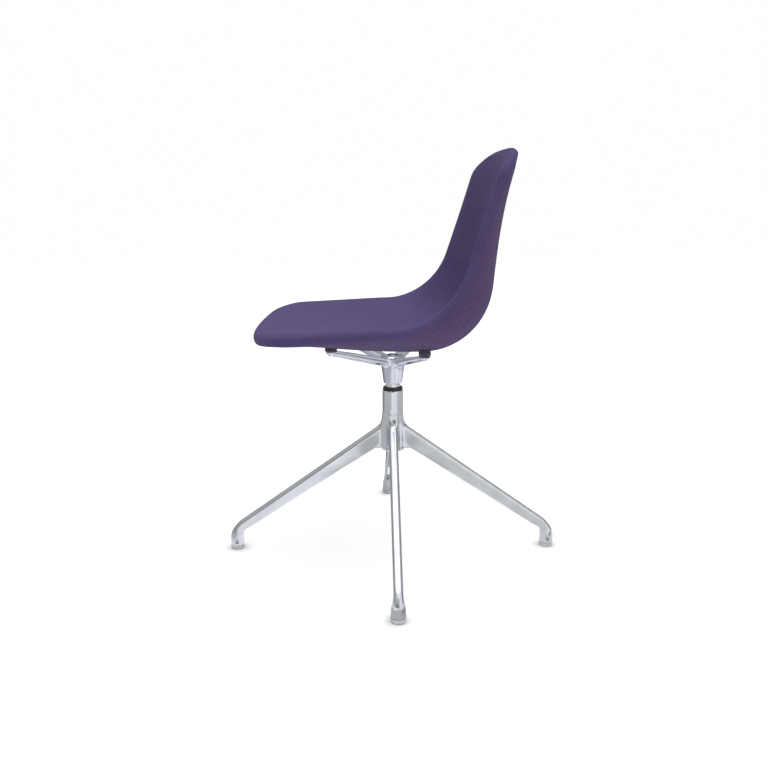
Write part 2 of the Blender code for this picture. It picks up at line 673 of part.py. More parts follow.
def build_spider():
    edge = HUB_EDGE
    outline = [
        (0.0, HUB_BOTTOM),
        (HUB_BOTTOM_RADIUS - edge, HUB_BOTTOM),
        (HUB_BOTTOM_RADIUS, HUB_BOTTOM + edge),
        (HUB_SHOULDER_RADIUS, HUB_SHOULDER),
        (HUB_SHOULDER_RADIUS, HUB_SHOULDER + 0.004),
        (HUB_TOP_RADIUS, HUB_TOP - edge),
        (HUB_TOP_RADIUS - edge, HUB_TOP - GAP),
        (0.0, HUB_TOP - GAP),
    ]
    spider = add_object("seat_spider", *turned(outline, ROUND_STEPS), POLISHED_ALUMINIUM)
    for name, x, y, pad_top, tip_bottom in MOUNTS:
        arm = lofted(arm_sections(x, y, pad_top, tip_bottom))
        boolean(spider, [arm], "UNION", "arm_joiner_" + name)
    socket = turned([
        (0.0, HUB_BOTTOM - CUTTER_OVERRUN),
        (NECK_RADIUS + GAP, HUB_BOTTOM - CUTTER_OVERRUN),
        (NECK_RADIUS + GAP, NECK_TOP + GAP),
        (SPINDLE_RADIUS + GAP, NECK_TOP + GAP),
        (SPINDLE_RADIUS - 0.0010 + GAP, SPIGOT_TOP + GAP),
        (CAP_HOLE_RADIUS, SPIGOT_TOP + GAP),
        (CAP_HOLE_RADIUS, HUB_TOP - CAP_COUNTERBORE_DEPTH),
        (CAP_COUNTERBORE_RADIUS, HUB_TOP - CAP_COUNTERBORE_DEPTH),
        (CAP_COUNTERBORE_RADIUS, HUB_TOP + CUTTER_OVERRUN),
        (0.0, HUB_TOP + CUTTER_OVERRUN),
    ], ROUND_STEPS)
    boolean(spider, [socket], "DIFFERENCE", "socket_cutter_hub")
    holes = []
    for name, x, y, pad_top, tip_bottom in MOUNTS:
        seat = screw_seat(x, y, tip_bottom)
        holes.append(turned([
            (0.0, seat - 2 * CUTTER_OVERRUN),
            (WASHER_RADIUS + GAP, seat - 2 * CUTTER_OVERRUN),
            (WASHER_RADIUS + GAP, seat),
            (SCREW_HOLE_RADIUS, seat),
            (SCREW_HOLE_RADIUS, pad_top + CUTTER_OVERRUN),
            (0.0, pad_top + CUTTER_OVERRUN),
        ], SMALL_ROUND_STEPS))
        holes[-1] = (move(holes[-1][0], at(x, y)), holes[-1][1])
    boolean(spider, holes, "DIFFERENCE", "screw_hole_cutter")
    build_cap_screw()


def hex_socket(radius, low, high):
    """Cutter for a hexagon socket."""
    return rod(radius, low, high, 6)


def build_cap_screw():
    """Washer and button screw that pull the spider down on the spindle."""
    washer_low = HUB_TOP - CAP_COUNTERBORE_DEPTH + GAP
    washer_high = washer_low + CAP_WASHER_THICKNESS
    add_object("spindle_washer", *turned([
        (CAP_SCREW_RADIUS + GAP, washer_low),
        (CAP_WASHER_RADIUS, washer_low),
        (CAP_WASHER_RADIUS, washer_high),
        (CAP_SCREW_RADIUS + GAP, washer_high),
    ], 24), ZINC_STEEL)
    head_low = washer_high + GAP
    head_high = head_low + CAP_SCREW_HEAD_HEIGHT
    shank_low = SPIGOT_TOP - CAP_SCREW_LENGTH + CAP_SCREW_POINT
    screw = add_object("spindle_screw", *turned([
        (0.0, shank_low),
        (CAP_SCREW_RADIUS, shank_low),
        (CAP_SCREW_RADIUS, head_low),
        (CAP_SCREW_HEAD_RADIUS, head_low),
        (CAP_SCREW_HEAD_RADIUS, head_low + CAP_SCREW_HEAD_HEIGHT * 0.35),
        (CAP_SCREW_HEAD_RADIUS * 0.7, head_high),
        (0.0, head_high),
    ], 24), ZINC_STEEL)
    socket = hex_socket(CAP_SCREW_HEX, head_high - CAP_SCREW_HEX, head_high + CUTTER_OVERRUN)
    boolean(screw, [socket], "DIFFERENCE", "cap_socket_cutter")


# Upholstered shell

class Profile:
    """A seat line, a round bend and a back line in the Y, Z plane, walked by length."""

    def __init__(self, start, corner, bend, lean, top, curl):
        seat_end = Vector(corner)
        seat_way = (seat_end - Vector(start)).normalized()
        back_way = Vector((math.sin(lean), math.cos(lean)))
        turn_angle = seat_way.angle(back_way)
        reach = bend * math.tan(turn_angle / 2)
        self.start = np.array(start)
        self.seat_way = np.array(seat_way)
        self.back_way = np.array(back_way)
        self.seat_length = (seat_end - Vector(start)).length - reach
        self.bend = bend
        self.turn_angle = turn_angle
        self.bend_start = self.start + self.seat_way * self.seat_length
        rise = np.array((-self.seat_way[1], self.seat_way[0]))
        self.rise = rise
        self.centre = self.bend_start + rise * bend
        self.bend_end = np.array(corner) + self.back_way * reach
        self.back_length = (top - self.bend_end[1]) / self.back_way[1]
        self.length = self.seat_length + bend * turn_angle + self.back_length
        self.curl = np.array((curl, 0.0))

    def walk(self, share):
        """Points at shares of the length, as an array of (y, z)."""
        gone = np.asarray(share)[..., None] * self.length
        seat = self.start + self.seat_way * gone
        angle = (gone - self.seat_length) / self.bend
        arc = self.centre + self.bend * (np.sin(angle) * self.seat_way - np.cos(angle) * self.rise)
        back_gone = gone - self.seat_length - self.bend * self.turn_angle
        climbed = np.clip(back_gone / self.back_length, 0.0, None)
        back = self.bend_end + self.back_way * back_gone + self.curl * climbed ** 3
        return np.where(gone < self.seat_length, seat, np.where(back_gone > 0, back, arc))


CENTRE = Profile(CENTRE_START, CENTRE_CORNER, CENTRE_BEND, CENTRE_LEAN, CENTRE_TOP, CENTRE_CURL)
RIM = Profile(RIM_START, RIM_CORNER, RIM_BEND, RIM_LEAN, RIM_TOP, RIM_CURL)


def full_half_width(share):
    """Half width of the padded surface without its rounded corners."""
    ease = np.clip((share - 0.35) / 0.3, 0.0, 1.0)
    return SEAT_HALF_WIDTH + (BACK_HALF_WIDTH - SEAT_HALF_WIDTH) * ease * ease * (3 - 2 * ease)


def padded_surface(share, x):
    """Points of the front surface, from profile shares and distances from the mirror plane."""
    across = np.abs(x) / full_half_width(share)
    rise = (across ** DISH_POWER)[..., None]
    side = CENTRE.walk(share) * (1 - rise) + RIM.walk(share) * rise
    return np.stack([x, side[..., 0], side[..., 1]], -1)


def padded_normal(share, x):
    """Unit normals of the front surface, towards the sitter."""
    step = 0.002
    along = padded_surface(share + step, x) - padded_surface(share - step, x)
    across = padded_surface(share, x + step) - padded_surface(share, x - step)
    normal = np.cross(across, along)
    return normal / np.linalg.norm(normal, axis=-1, keepdims=True)


def thickness(share, x):
    """Whole thickness of the upholstered shell."""
    swell = np.clip(1 - ((share - BULGE_PLACE) / BULGE_REACH) ** 2, 0.0, 1.0) ** 1.5
    across = np.clip(1 - (x / full_half_width(share)) ** 2, 0.0, 1.0) ** 3
    return EDGE_THICKNESS + SEAT_BULGE * swell * across


def edge_rows():
    """Profile shares of the mesh rows and the half width of each."""
    length = RIM.length
    front_width, front_run = FRONT_CORNER
    top_width, top_run = TOP_CORNER
    quarter = np.linspace(0, math.pi / 2, CORNER_ROWS + 1)
    front = front_run * (1 - np.cos(quarter)) / length
    back = 1 - top_run * (1 - np.cos(quarter[::-1])) / length
    middle = np.linspace(front[-1], back[0], MIDDLE_ROWS + 2)[1:-1]
    shares = np.concatenate([front, middle, back])
    half = full_half_width(shares)
    half[:CORNER_ROWS + 1] -= front_width * (1 - np.sin(quarter))
    half[-CORNER_ROWS - 1:] -= top_width * (1 - np.sin(quarter[::-1]))
    return shares, half


SHARES, HALF_WIDTHS = edge_rows()
ROWS = len(SHARES)
GRID_SHARE = np.repeat(SHARES[:, None], COLUMNS + 1, axis=1)
GRID_X = HALF_WIDTHS[:, None] * np.linspace(-1, 1, COLUMNS + 1)[None, :]
GRID_POINT = padded_surface(GRID_SHARE, GRID_X)
GRID_NORMAL = padded_normal(GRID_SHARE, GRID_X)
GRID_THICKNESS = thickness(GRID_SHARE, GRID_X)


def edge_loop():
    """Grid places around the edge, as (row, column)."""
    loop = [(0, column) for column in range(COLUMNS)]
    loop += [(row, COLUMNS) for row in range(ROWS - 1)]
    loop += [(ROWS - 1, column) for column in range(COLUMNS, 0, -1)]
    loop += [(row, 0) for row in range(ROWS - 1, 0, -1)]
    return loop


LOOP = edge_loop()
LOOP_POINT = np.array([GRID_POINT[place] for place in LOOP])
LOOP_NORMAL = np.array([GRID_NORMAL[place] for place in LOOP])
LOOP_ALONG = np.roll(LOOP_POINT, -1, axis=0) - np.roll(LOOP_POINT, 1, axis=0)
LOOP_OUT = np.cross(LOOP_ALONG, LOOP_NORMAL)
LOOP_OUT /= np.linalg.norm(LOOP_OUT, axis=1, keepdims=True)


def layer(top_depth, bottom_depth, edge):
    """A closed layer of the shell.

    The depths are arrays below the front surface, and the edge is a list of
    (outwards, depth) pairs that lead around the rim from the top to the bottom.
    """
    verts = []
    for depth in (top_depth, bottom_depth):
        grid = GRID_POINT - GRID_NORMAL * depth[..., None]
        verts.extend(grid.reshape(-1, 3))
    width = COLUMNS + 1
    size = ROWS * width
    faces = []
    for row in range(ROWS - 1):
        for column in range(COLUMNS):
            first = row * width + column
            beyond = first + width + 1
            for corner in (first + 1, first + width):
                faces.append([first, corner, beyond])
                faces.append([size + beyond, size + corner, size + first])
    rings = [[row * width + column for row, column in LOOP]]
    depths = [top_depth[LOOP[0]], *(depth for outwards, depth in edge), bottom_depth[LOOP[0]]]
    for outwards, depth in edge:
        start = len(verts)
        verts.extend(LOOP_POINT + LOOP_OUT * outwards - LOOP_NORMAL * depth)
        rings.append(list(range(start, start + len(LOOP))))
    rings.append([row * width + column + size for row, column in LOOP])
    for step in range(len(rings) - 1):
        first = rings[step]
        second = rings[step + 1]
        for k in range(len(LOOP)):
            after = (k + 1) % len(LOOP)
            if depths[step] < depths[step + 1]:
                faces.append([first[k], second[k], second[after]])
                faces.append([first[k], second[after], first[after]])
            else:
                faces.append([first[k], second[k], first[after]])
                faces.append([first[after], second[k], second[after]])
    return verts, faces


ROLL = EDGE_THICKNESS / 2


def roll(radius, start, end, steps):
    """Points round the rolled edge, as (outwards, depth)."""
    angles = np.linspace(start, end, steps + 1)
    return [(radius * math.cos(angle), ROLL - radius * math.sin(angle)) for angle in angles]


FOAM_TOP = FABRIC + GAP
SHELL_BACK = BACK_COVER + GAP               # measured up from the back surface
SHELL_FRONT = SHELL_BACK + SHELL_THICKNESS
UP = math.pi / 2


def build_front_cover():
    """Fabric over the foam, wrapped round the edge to the seam."""
    top = np.zeros_like(GRID_THICKNESS)
    outside = roll(ROLL, UP, SEAM_ANGLE, ROLL_STEPS)[1:]
    inside = roll(ROLL - FABRIC, SEAM_ANGLE, UP, ROLL_STEPS)[:-1]
    solid = layer(top, top + FABRIC, outside + inside)
    add_object("cover_front", *solid, VIOLET_FABRIC)


def build_foam():
    """Foam on the shell's front, hooked over the shell's edge."""
    bottom = GRID_THICKNESS - SHELL_FRONT - GAP
    around_edge = np.array(roll(ROLL - FOAM_TOP, UP, SEAM_ANGLE, ROLL_STEPS)[1:])
    around_edge[-1] += (around_edge[-2] - around_edge[-1]) * FOAM_LIP_SHORT
    lip_depth = around_edge[-1][1]
    inside = SHELL_EDGE + GAP
    lip = [(inside, lip_depth), (inside, EDGE_THICKNESS - SHELL_FRONT - GAP)]
    around_edge = [*around_edge, *lip]
    add_object("foam_pad", *layer(np.full_like(bottom, FOAM_TOP), bottom, around_edge), FOAM)


def surface_below(x, y, depth_from_back):
    """Height, at a place in plan, of the surface that lies this far above the back surface."""
    shares, xs = np.meshgrid(np.linspace(0.0, 0.55, 220), np.linspace(-0.15, 0.15, 121), indexing="ij")
    normals = padded_normal(shares, xs)
    points = padded_surface(shares, xs) - normals * (thickness(shares, xs) - depth_from_back)[..., None]
    away = (points[..., 0] - x) ** 2 + (points[..., 1] - y) ** 2
    nearest = np.unravel_index(np.argmin(away), away.shape)
    point = points[nearest]
    normal = normals[nearest]
    return point[2] - ((x - point[0]) * normal[0] + (y - point[1]) * normal[1]) / normal[2]


def boss_bottom(x, y):
    """Underside of a boss: a little below the lowest fabric beside it."""
    rim = [(x + BOSS_RADIUS * math.cos(a), y + BOSS_RADIUS * math.sin(a)) for a in (0, 1.57, 3.14, 4.71)]
    return min(surface_below(px, py, 0.0) for px, py in rim) - BOSS_STAND_OUT


def build_shell():
    """Moulded shell with four bosses for the threaded inserts."""
    back = GRID_THICKNESS - SHELL_BACK
    edge_front = EDGE_THICKNESS - SHELL_FRONT
    edge_back = EDGE_THICKNESS - SHELL_BACK
    rim = [
        (SHELL_EDGE * 0.8, edge_front),
        (SHELL_EDGE, edge_front + 0.0015),
        (SHELL_EDGE, edge_back - 0.0025),
        (SHELL_EDGE * 0.5, edge_back - 0.0006),
    ]
    shell = add_object("seat_shell", *layer(back - SHELL_THICKNESS, back, rim), SHELL_PLASTIC)
    bosses = []
    holes = []
    for name, x, y, pad_top, tip_bottom in MOUNTS:
        low = boss_bottom(x, y)
        verts, faces = rod(BOSS_RADIUS, low, low + INSERT_LENGTH, 24)
        raised = []
        for vx, vy, vz in verts:
            if vz > low:
                vz = surface_below(x + vx, y + vy, SHELL_BACK + SHELL_THICKNESS * 0.55)
            raised.append((x + vx, y + vy, vz))
        bosses.append((raised, faces))
        hole = rod(INSERT_RADIUS + GAP, low - CUTTER_OVERRUN, low + INSERT_LENGTH + 2 * GAP)
        holes.append((move(hole[0], at(x, y)), hole[1]))
    boolean(shell, bosses, "UNION", "boss_joiner")
    boolean(shell, holes, "DIFFERENCE", "insert_hole_cutter")


def build_back_cover():
    """Laminated fabric over the underside and the outer back, up to the seam."""
    seam = SEAM_ANGLE - SEAM_GAP / ROLL
    outside = roll(ROLL, seam, -UP, 2)[:-1]
    inside = roll(ROLL - BACK_COVER, -UP, seam, 2)[1:]
    solid = layer(GRID_THICKNESS - BACK_COVER, GRID_THICKNESS, inside + outside)
    cover = add_object("cover_back", *solid, VIOLET_BACK_FABRIC)
    holes = []
    for name, x, y, pad_top, tip_bottom in MOUNTS:
        middle = surface_below(x, y, 0.0)
        hole = rod(BOSS_RADIUS + GAP, middle - 3 * CUTTER_OVERRUN, middle + 3 * CUTTER_OVERRUN, 24)
        holes.append((move(hole[0], at(x, y)), hole[1]))
    boolean(cover, holes, "DIFFERENCE", "boss_hole_cutter")


def build_mount_hardware():
    """Spacer, washer, screw and insert at each end of the spider."""
    for name, x, y, pad_top, tip_bottom in MOUNTS:
        boss_low = boss_bottom(x, y)
        place = at(x, y)
        spacer_low = pad_top + GAP
        spacer_high = boss_low - GAP
        spacer = turned([
            (SCREW_HOLE_RADIUS, spacer_low),
            (SPACER_BOTTOM_RADIUS, spacer_low),
            (SPACER_TOP_RADIUS, spacer_high),
            (SCREW_HOLE_RADIUS, spacer_high),
        ], 24)
        add_object("spacer_" + name, move(spacer[0], place), spacer[1], DARK_NYLON)
        insert = turned([
            (SCREW_RADIUS + GAP, boss_low),
            (INSERT_RADIUS, boss_low),
            (INSERT_RADIUS, boss_low + INSERT_LENGTH),
            (SCREW_RADIUS + GAP, boss_low + INSERT_LENGTH),
        ], SMALL_ROUND_STEPS)
        add_object("threaded_insert_" + name, move(insert[0], place), insert[1], BRASS)
        washer_high = screw_seat(x, y, tip_bottom) - GAP
        washer_low = washer_high - WASHER_THICKNESS
        washer = turned([
            (SCREW_RADIUS + GAP, washer_low),
            (WASHER_RADIUS, washer_low),
            (WASHER_RADIUS, washer_high),
            (SCREW_RADIUS + GAP, washer_high),
        ], SMALL_ROUND_STEPS)
        add_object("screw_washer_" + name, move(washer[0], place), washer[1], ZINC_STEEL)
        head_high = washer_low - GAP
        head_low = head_high - SCREW_HEAD_HEIGHT
        screw = turned([
            (0.0, head_low),
            (SCREW_HEAD_RADIUS - 0.0012, head_low),
            (SCREW_HEAD_RADIUS, head_low + 0.0014),
            (SCREW_HEAD_RADIUS, head_high),
            (SCREW_RADIUS, head_high),
            (SCREW_RADIUS, boss_low + SCREW_REACH),
            (0.0, boss_low + SCREW_REACH),
        ], SMALL_ROUND_STEPS)
        made = add_object("seat_screw_" + name, move(screw[0], place), screw[1], ZINC_STEEL)
        socket = hex_socket(SCREW_HEX, head_low - CUTTER_OVERRUN, head_low + SCREW_HEAD_HEIGHT * 0.7)
        boolean(made, [(move(socket[0], place), socket[1])], "DIFFERENCE", "hex_cutter_" + name)


build_base()
build_feet()
build_bearing()
build_spider()
build_shell()
build_foam()
build_front_cover()
build_back_cover()
build_mount_hardware()
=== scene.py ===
"""An upholstered one-piece shell chair that swivels on a polished cast aluminium four-star base.

Metres, +Z up, origin on the floor under the swivel axis. The chair faces -Y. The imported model
is the frame, and each section below dresses one piece of it, from the floor up.
"""
import math
import bmesh
import bpy
import numpy as np
from mathutils import Matrix, Vector


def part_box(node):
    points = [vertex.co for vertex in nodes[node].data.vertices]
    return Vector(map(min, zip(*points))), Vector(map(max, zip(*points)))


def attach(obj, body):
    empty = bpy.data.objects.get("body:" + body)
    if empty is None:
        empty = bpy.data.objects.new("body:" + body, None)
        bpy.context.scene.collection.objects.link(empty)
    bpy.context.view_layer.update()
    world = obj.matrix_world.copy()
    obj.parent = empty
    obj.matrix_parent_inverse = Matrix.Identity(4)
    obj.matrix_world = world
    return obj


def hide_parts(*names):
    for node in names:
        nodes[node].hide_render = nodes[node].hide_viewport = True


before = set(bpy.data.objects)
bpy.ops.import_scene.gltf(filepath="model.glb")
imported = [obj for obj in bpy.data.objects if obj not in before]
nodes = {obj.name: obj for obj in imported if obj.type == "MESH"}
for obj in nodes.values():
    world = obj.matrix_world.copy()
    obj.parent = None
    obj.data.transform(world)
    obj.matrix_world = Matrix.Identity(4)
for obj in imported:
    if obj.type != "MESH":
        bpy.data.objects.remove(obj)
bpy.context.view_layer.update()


# Camera
# It stands at the sitter's left, a little above the seat, and looks slightly down.
# Its distance, height and tilt come from the legs' lengths and the feet's places in the picture.

CAMERA_DISTANCE = 1.690
CAMERA_SIDE = 0.0175
CAMERA_HEIGHT = 0.740
CAMERA_PITCH = math.radians(13.16)
CAMERA_TURN = math.radians(1.30)
FOCAL_LENGTH = 40.894
SENSOR_WIDTH = 36.0

scene = bpy.context.scene


def new_object(name, data):
    """A new object in the scene, at the origin, unturned and unscaled."""
    made = bpy.data.objects.new(name, data)
    scene.collection.objects.link(made)
    return made


lens = bpy.data.cameras.new("camera")
lens.lens = FOCAL_LENGTH
lens.sensor_width = SENSOR_WIDTH
camera = new_object("camera", lens)
look = Vector((-math.cos(CAMERA_PITCH), 0.0, -math.sin(CAMERA_PITCH)))
above = Vector((-math.sin(CAMERA_PITCH), 0.0, math.cos(CAMERA_PITCH)))
aim = Matrix((Vector((0.0, 1.0, 0.0)), above, -look)).transposed().to_4x4()
stand = Matrix.Translation((CAMERA_DISTANCE, -CAMERA_SIDE, CAMERA_HEIGHT))
camera.matrix_world = Matrix.Rotation(-CAMERA_TURN, 4, "Z") @ stand @ aim
scene.camera = camera
scene.view_settings.view_transform = "Standard"


# Studio
# White paper on the floor keeps a soft shadow, and the camera sees the sky as plain white too.
# Light falls mostly from overhead. Polished metal sees a pattern of its own in floor and sky,
# bright cards and dark flags, as a shiny object has round it in a studio.

PAPER_WHITE = (0.985, 0.982, 0.990, 1.0)
PAPER_BOUNCE = (0.90, 0.88, 0.94, 1.0)
SHADOW_SHARE = 0.60
PAPER_GLOW = 1.06               # the lit paper in a mirror, as a share of white
CAMERA_GLOW = 0.54              # what it glows more for the camera, to make up for the share
CONTACT_REACH = 0.022           # how far from a foot the paper is darkened by it
ZENITH = 2.40                   # strength of the sky overhead, for what isn't a mirror
MIRROR_ZENITH = 1.75
BRIGHT_WAY = (0.966, 0.259, 0.0)    # where polished metal sees the far paper lit up
NEAR_FOOT = (0.320, 0.0, 0.0)
NEAR_FOOT_RING = (0.14, 0.10)   # limits, in metres, between which a patch fades in
FAR_PAPER = (0.40, 0.85)

# Patches in the mirrored paper: the share of white each adds or takes, then its limits along X,
# along Y and out from the axis. It fades in between two limits, and out again between two more.
PATCHES = {
    "grey card": (-0.22, (0.68, 0.60), (0.02, 0.06, 0.34, 0.42), ()),
    "flag": (-0.70, (0.02, 0.08, 0.27, 0.34), (0.36, 0.44, 0.67, 0.74), ()),
    "bright card": (0.22, (0.34, 0.42), (-0.22, -0.15, -0.09, -0.05), ()),
    "under the column": (0.30, (), (), (0.28, 0.19)),
}


class Wire:
    """An output socket, with node maths written as ordinary sums."""

    def __init__(self, tree, output):
        """Keeps the node tree with the output, so that new nodes join the same tree."""
        self.tree = tree
        self.output = output

    def make(self, kind, settings=None, inputs=None, output=0):
        """A new node: its settings first, then the values or links of its sockets."""
        node = self.tree.nodes.new(kind)
        for key, value in (settings or {}).items():
            setattr(node, key, value)
        for key, value in (inputs or {}).items():
            if isinstance(value, Wire):
                self.tree.links.new(value.output, node.inputs[key])
            else:
                node.inputs[key].default_value = value
        return Wire(self.tree, node.outputs[output])

    def sum(self, operation, first, second=0.0):
        """A Math node on two values. The operators below stand for its operations."""
        return self.make("ShaderNodeMath", {"operation": operation}, {0: first, 1: second})

    def __add__(self, other):
        return self.sum("ADD", self, other)

    def __radd__(self, other):
        return self.sum("ADD", other, self)

    def __sub__(self, other):
        return self.sum("SUBTRACT", self, other)

    def __rsub__(self, other):
        return self.sum("SUBTRACT", other, self)

    def __mul__(self, other):
        return self.sum("MULTIPLY", self, other)

    def __rmul__(self, other):
        return self.sum("MULTIPLY", other, self)

    def __truediv__(self, other):
        return self.sum("DIVIDE", self, other)

    def __rtruediv__(self, other):
        return self.sum("DIVIDE", other, self)

    def __pow__(self, other):
        return self.sum("POWER", self, other)

    def other(self, output):
        """Another output of this output's node."""
        return Wire(self.tree, self.output.node.outputs[output])

    def above(self, floor):
        """The greater of this value and another."""
        return self.sum("MAXIMUM", self, floor)

    def between(self, low, high):
        """0 at low and 1 at high, a smooth step in between; low may be the greater one."""
        settings = {"interpolation_type": "SMOOTHSTEP"}
        return self.make("ShaderNodeMapRange", settings, {0: self, 1: low, 2: high})

    def band(self, limits):
        """0 to 1 between two limits; with two more, down to 0 again between those."""
        rise = self.between(limits[0], limits[1])
        return rise * self.between(limits[3], limits[2]) if len(limits) == 4 else rise

    def blend(self, first, second):
        """Colour mix of first and second, with this value as the factor."""
        return self.make("ShaderNodeMix", {"data_type": "RGBA"}, {0: self, 6: first, 7: second}, 2)


sky = bpy.data.worlds.new("studio_sky")
sky.use_nodes = True
scene.world = sky
sky_light = sky.node_tree.nodes["Background"]
start = Wire(sky.node_tree, sky.node_tree.nodes["World Output"].inputs[0])
way = start.make("ShaderNodeTexCoord")
nearer = start.make("ShaderNodeSeparateXYZ", None, {0: way})
side = nearer.other(1)
height = nearer.other(2)
rays = start.make("ShaderNodeLightPath")
seen = rays.other("Is Camera Ray")
mirrored = rays.other("Is Glossy Ray")

# Light on what isn't a mirror: a low even level, and the cube of the height, stronger at the rear.
rear_way = 0.72 + 0.52 * side.between(-0.25, 0.35)
level = 0.045 + 0.13 * side.between(-0.2, -0.8) + 0.09 * side.between(0.1, 0.8)
soft_sky = level + ZENITH * rear_way * height.above(0.0) ** 3.0

# What a mirror sees: a dark wall, light where the camera stands and low down behind, and the zenith.
light_end = 0.8 * side.between(-0.35, -0.75) * nearer.between(-0.30, 0.05)
dark_wall = 0.25 + 0.30 * height.between(0.25, 0.55).above(light_end)
light_wall = side.between(-0.05, 0.35) * nearer.between(-0.05, 0.40)
back_line = nearer.between(-0.2, -0.6) * height.between(0.16, 0.04)
mirror_sky = dark_wall + (1.0 - dark_wall) * light_wall.above(back_line)
mirror_sky = mirror_sky + (MIRROR_ZENITH - mirror_sky) * height.between(0.74, 0.86)
strength = seen + (1.0 - seen) * (mirrored * mirror_sky + (1.0 - mirrored) * soft_sky)
sky.node_tree.links.new(strength.output, sky_light.inputs["Strength"])
sky_light.inputs["Color"].default_value = (1.0, 0.995, 1.0, 1.0)

FLOOR_REACH = 6.0
floor_mesh = bpy.data.meshes.new("floor")
corners = [(-FLOOR_REACH, -FLOOR_REACH, 0.0), (FLOOR_REACH, -FLOOR_REACH, 0.0)]
corners += [(FLOOR_REACH, FLOOR_REACH, 0.0), (-FLOOR_REACH, FLOOR_REACH, 0.0)]
floor_mesh.from_pydata(corners, [], [(0, 1, 2, 3)])
floor = new_object("floor", floor_mesh)
paper = bpy.data.materials.new("floor_paper")
paper.use_nodes = True
floor_mesh.materials.append(paper)
tree = paper.node_tree
tree.nodes.remove(tree.nodes["Principled BSDF"])
start = Wire(tree, tree.nodes["Material Output"].inputs[0])
place = start.make("ShaderNodeTexCoord", None, None, 3)
away = start.make("ShaderNodeVectorMath", {"operation": "LENGTH"}, {0: place}, 1)
turned = {0: place, 1: BRIGHT_WAY}
turned = start.make("ShaderNodeVectorMath", {"operation": "DOT_PRODUCT"}, turned, 1) / away
near_foot = {0: place, 1: NEAR_FOOT}
near_foot = start.make("ShaderNodeVectorMath", {"operation": "DISTANCE"}, near_foot, 1)
ahead = start.make("ShaderNodeSeparateXYZ", None, {0: place})
aside = ahead.other(1)
rays = start.make("ShaderNodeLightPath")
seen = rays.other("Is Camera Ray")
mirrored = rays.other("Is Glossy Ray")

# The mirrored paper is white near the axis. Further out it is as bright as its direction says,
# with a lamp at the side. A dark lane leads to the near foot, and a dark patch lies behind.
sector = 0.28 + 0.36 * turned.between(-0.9, -0.3) + 0.40 * turned.between(0.70, 0.97)
lamp = 0.45 * aside.between(0.35, 0.60) * away.between(1.15, 0.85)
far = away.band(FAR_PAPER).above(aside.between(-0.35, -0.43))
spread = aside / (ahead - 0.22)
lane = (spread * spread).between(0.024, 0.010) * ahead.between(0.26, 0.31)
lane = 0.46 * (lane * away.between(0.66, 0.56)).above(near_foot.band(NEAR_FOOT_RING))
behind = 0.45 * ahead.between(-0.12, -0.20) * (aside * aside).between(0.0225, 0.0064)
glow = PAPER_GLOW - far * (PAPER_GLOW - sector - lamp) - lane - behind
for patch, *limits in PATCHES.values():
    for value, span in zip((ahead, aside, away), limits):
        patch = patch * value.band(span) if span else patch
    glow = glow + patch
glow = mirrored * glow + (1.0 - mirrored) * (PAPER_GLOW + CAMERA_GLOW * seen)
contact = {"Color": PAPER_WHITE, "Distance": CONTACT_REACH}
paper_shade = start.make("ShaderNodeAmbientOcclusion", {"samples": 3}, contact)
glow = start.make("ShaderNodeEmission", None, {"Color": paper_shade, "Strength": glow})
matt = {"Color": seen.blend(PAPER_BOUNCE, paper_shade)}
matt = start.make("ShaderNodeBsdfDiffuse", None, matt)
share = mirrored + seen * (1.0 - SHADOW_SHARE)
both = start.make("ShaderNodeMixShader", None, {0: share, 1: matt, 2: glow})
tree.links.new(both.output, tree.nodes["Material Output"].inputs["Surface"])


# Base casting
# One polished aluminium casting: a round column whose four legs slope down and bend into feet.
# Cast in one piece, so every meeting is a fillet; the legs are channelled from below.

COLUMN_RADIUS = 0.0205
COLUMN_FOOT = 0.2105
COLUMN_TOP = 0.3338
LEG_HALF = 0.0095
LEG_LINE = 0.2658               # height of a leg's top line at the column
LEG_UNDER = 0.2120              # height of its under line, level as far out as the knee
LEG_KNEE = 0.0353
LEG_CROWN = 0.0080
LOW_CROWN = 0.0042              # the crown's radius further down the leg's side
CROWN_FADE = (0.002, 0.010)     # where it starts to change, and over how much
SIDE_DRAFT = 0.066
DRAFT_REACH = 0.03
FOOT_PLACE = 0.3198
FOOT_RADIUS = 0.01365
FOOT_OUTER = FOOT_PLACE + FOOT_RADIUS
FOOT_INNER = FOOT_PLACE - FOOT_RADIUS
FOOT_END = 0.0075
FOOT_SWELL = (0.050, 0.0380)    # height where a leg starts to swell to its foot, and over how much
TOE_LINE = 0.0434               # where the straight top and under lines would meet the foot's sides
HEEL_LINE = 0.0368
ROOT_BEND = 0.035
TOE_BEND = 0.058
HEEL_BEND = 0.014
EASED_EDGE = 0.0008
WEB_FILLET = 0.010
WEB_REACH = 0.07                # further out no two legs meet
COLUMN_FILLET = (0.0015, 0.0065, 0.008)     # radius over a leg, its gain beside it, and by where
TOP_SLOPE = math.atan2(LEG_LINE - TOE_LINE, FOOT_OUTER - COLUMN_RADIUS)
UNDER_SLOPE = math.atan2(LEG_UNDER - HEEL_LINE, FOOT_INNER - LEG_KNEE)


def bend(corner, inward, outward, radius, steps):
    """Arc of a round corner: its centre lies on the two directions' half-way line.

    The first and last arms turn into each other by sines of the share of the sweep.
    """
    inward = np.array(inward) / np.linalg.norm(inward)
    outward = np.array(outward) / np.linalg.norm(outward)
    half = math.acos(float(inward @ outward)) / 2
    middle = (inward + outward) / np.linalg.norm(inward + outward)
    centre = np.array(corner) + middle * radius / math.sin(half)
    first = np.array(corner) + inward * radius / math.tan(half) - centre
    last = np.array(corner) + outward * radius / math.tan(half) - centre
    sweep = math.acos(float(first @ last) / radius ** 2)
    share = np.linspace(0, 1, steps)[:, None]
    turned = first * np.sin((1 - share) * sweep) + last * np.sin(share * sweep)
    return centre + turned / math.sin(sweep)


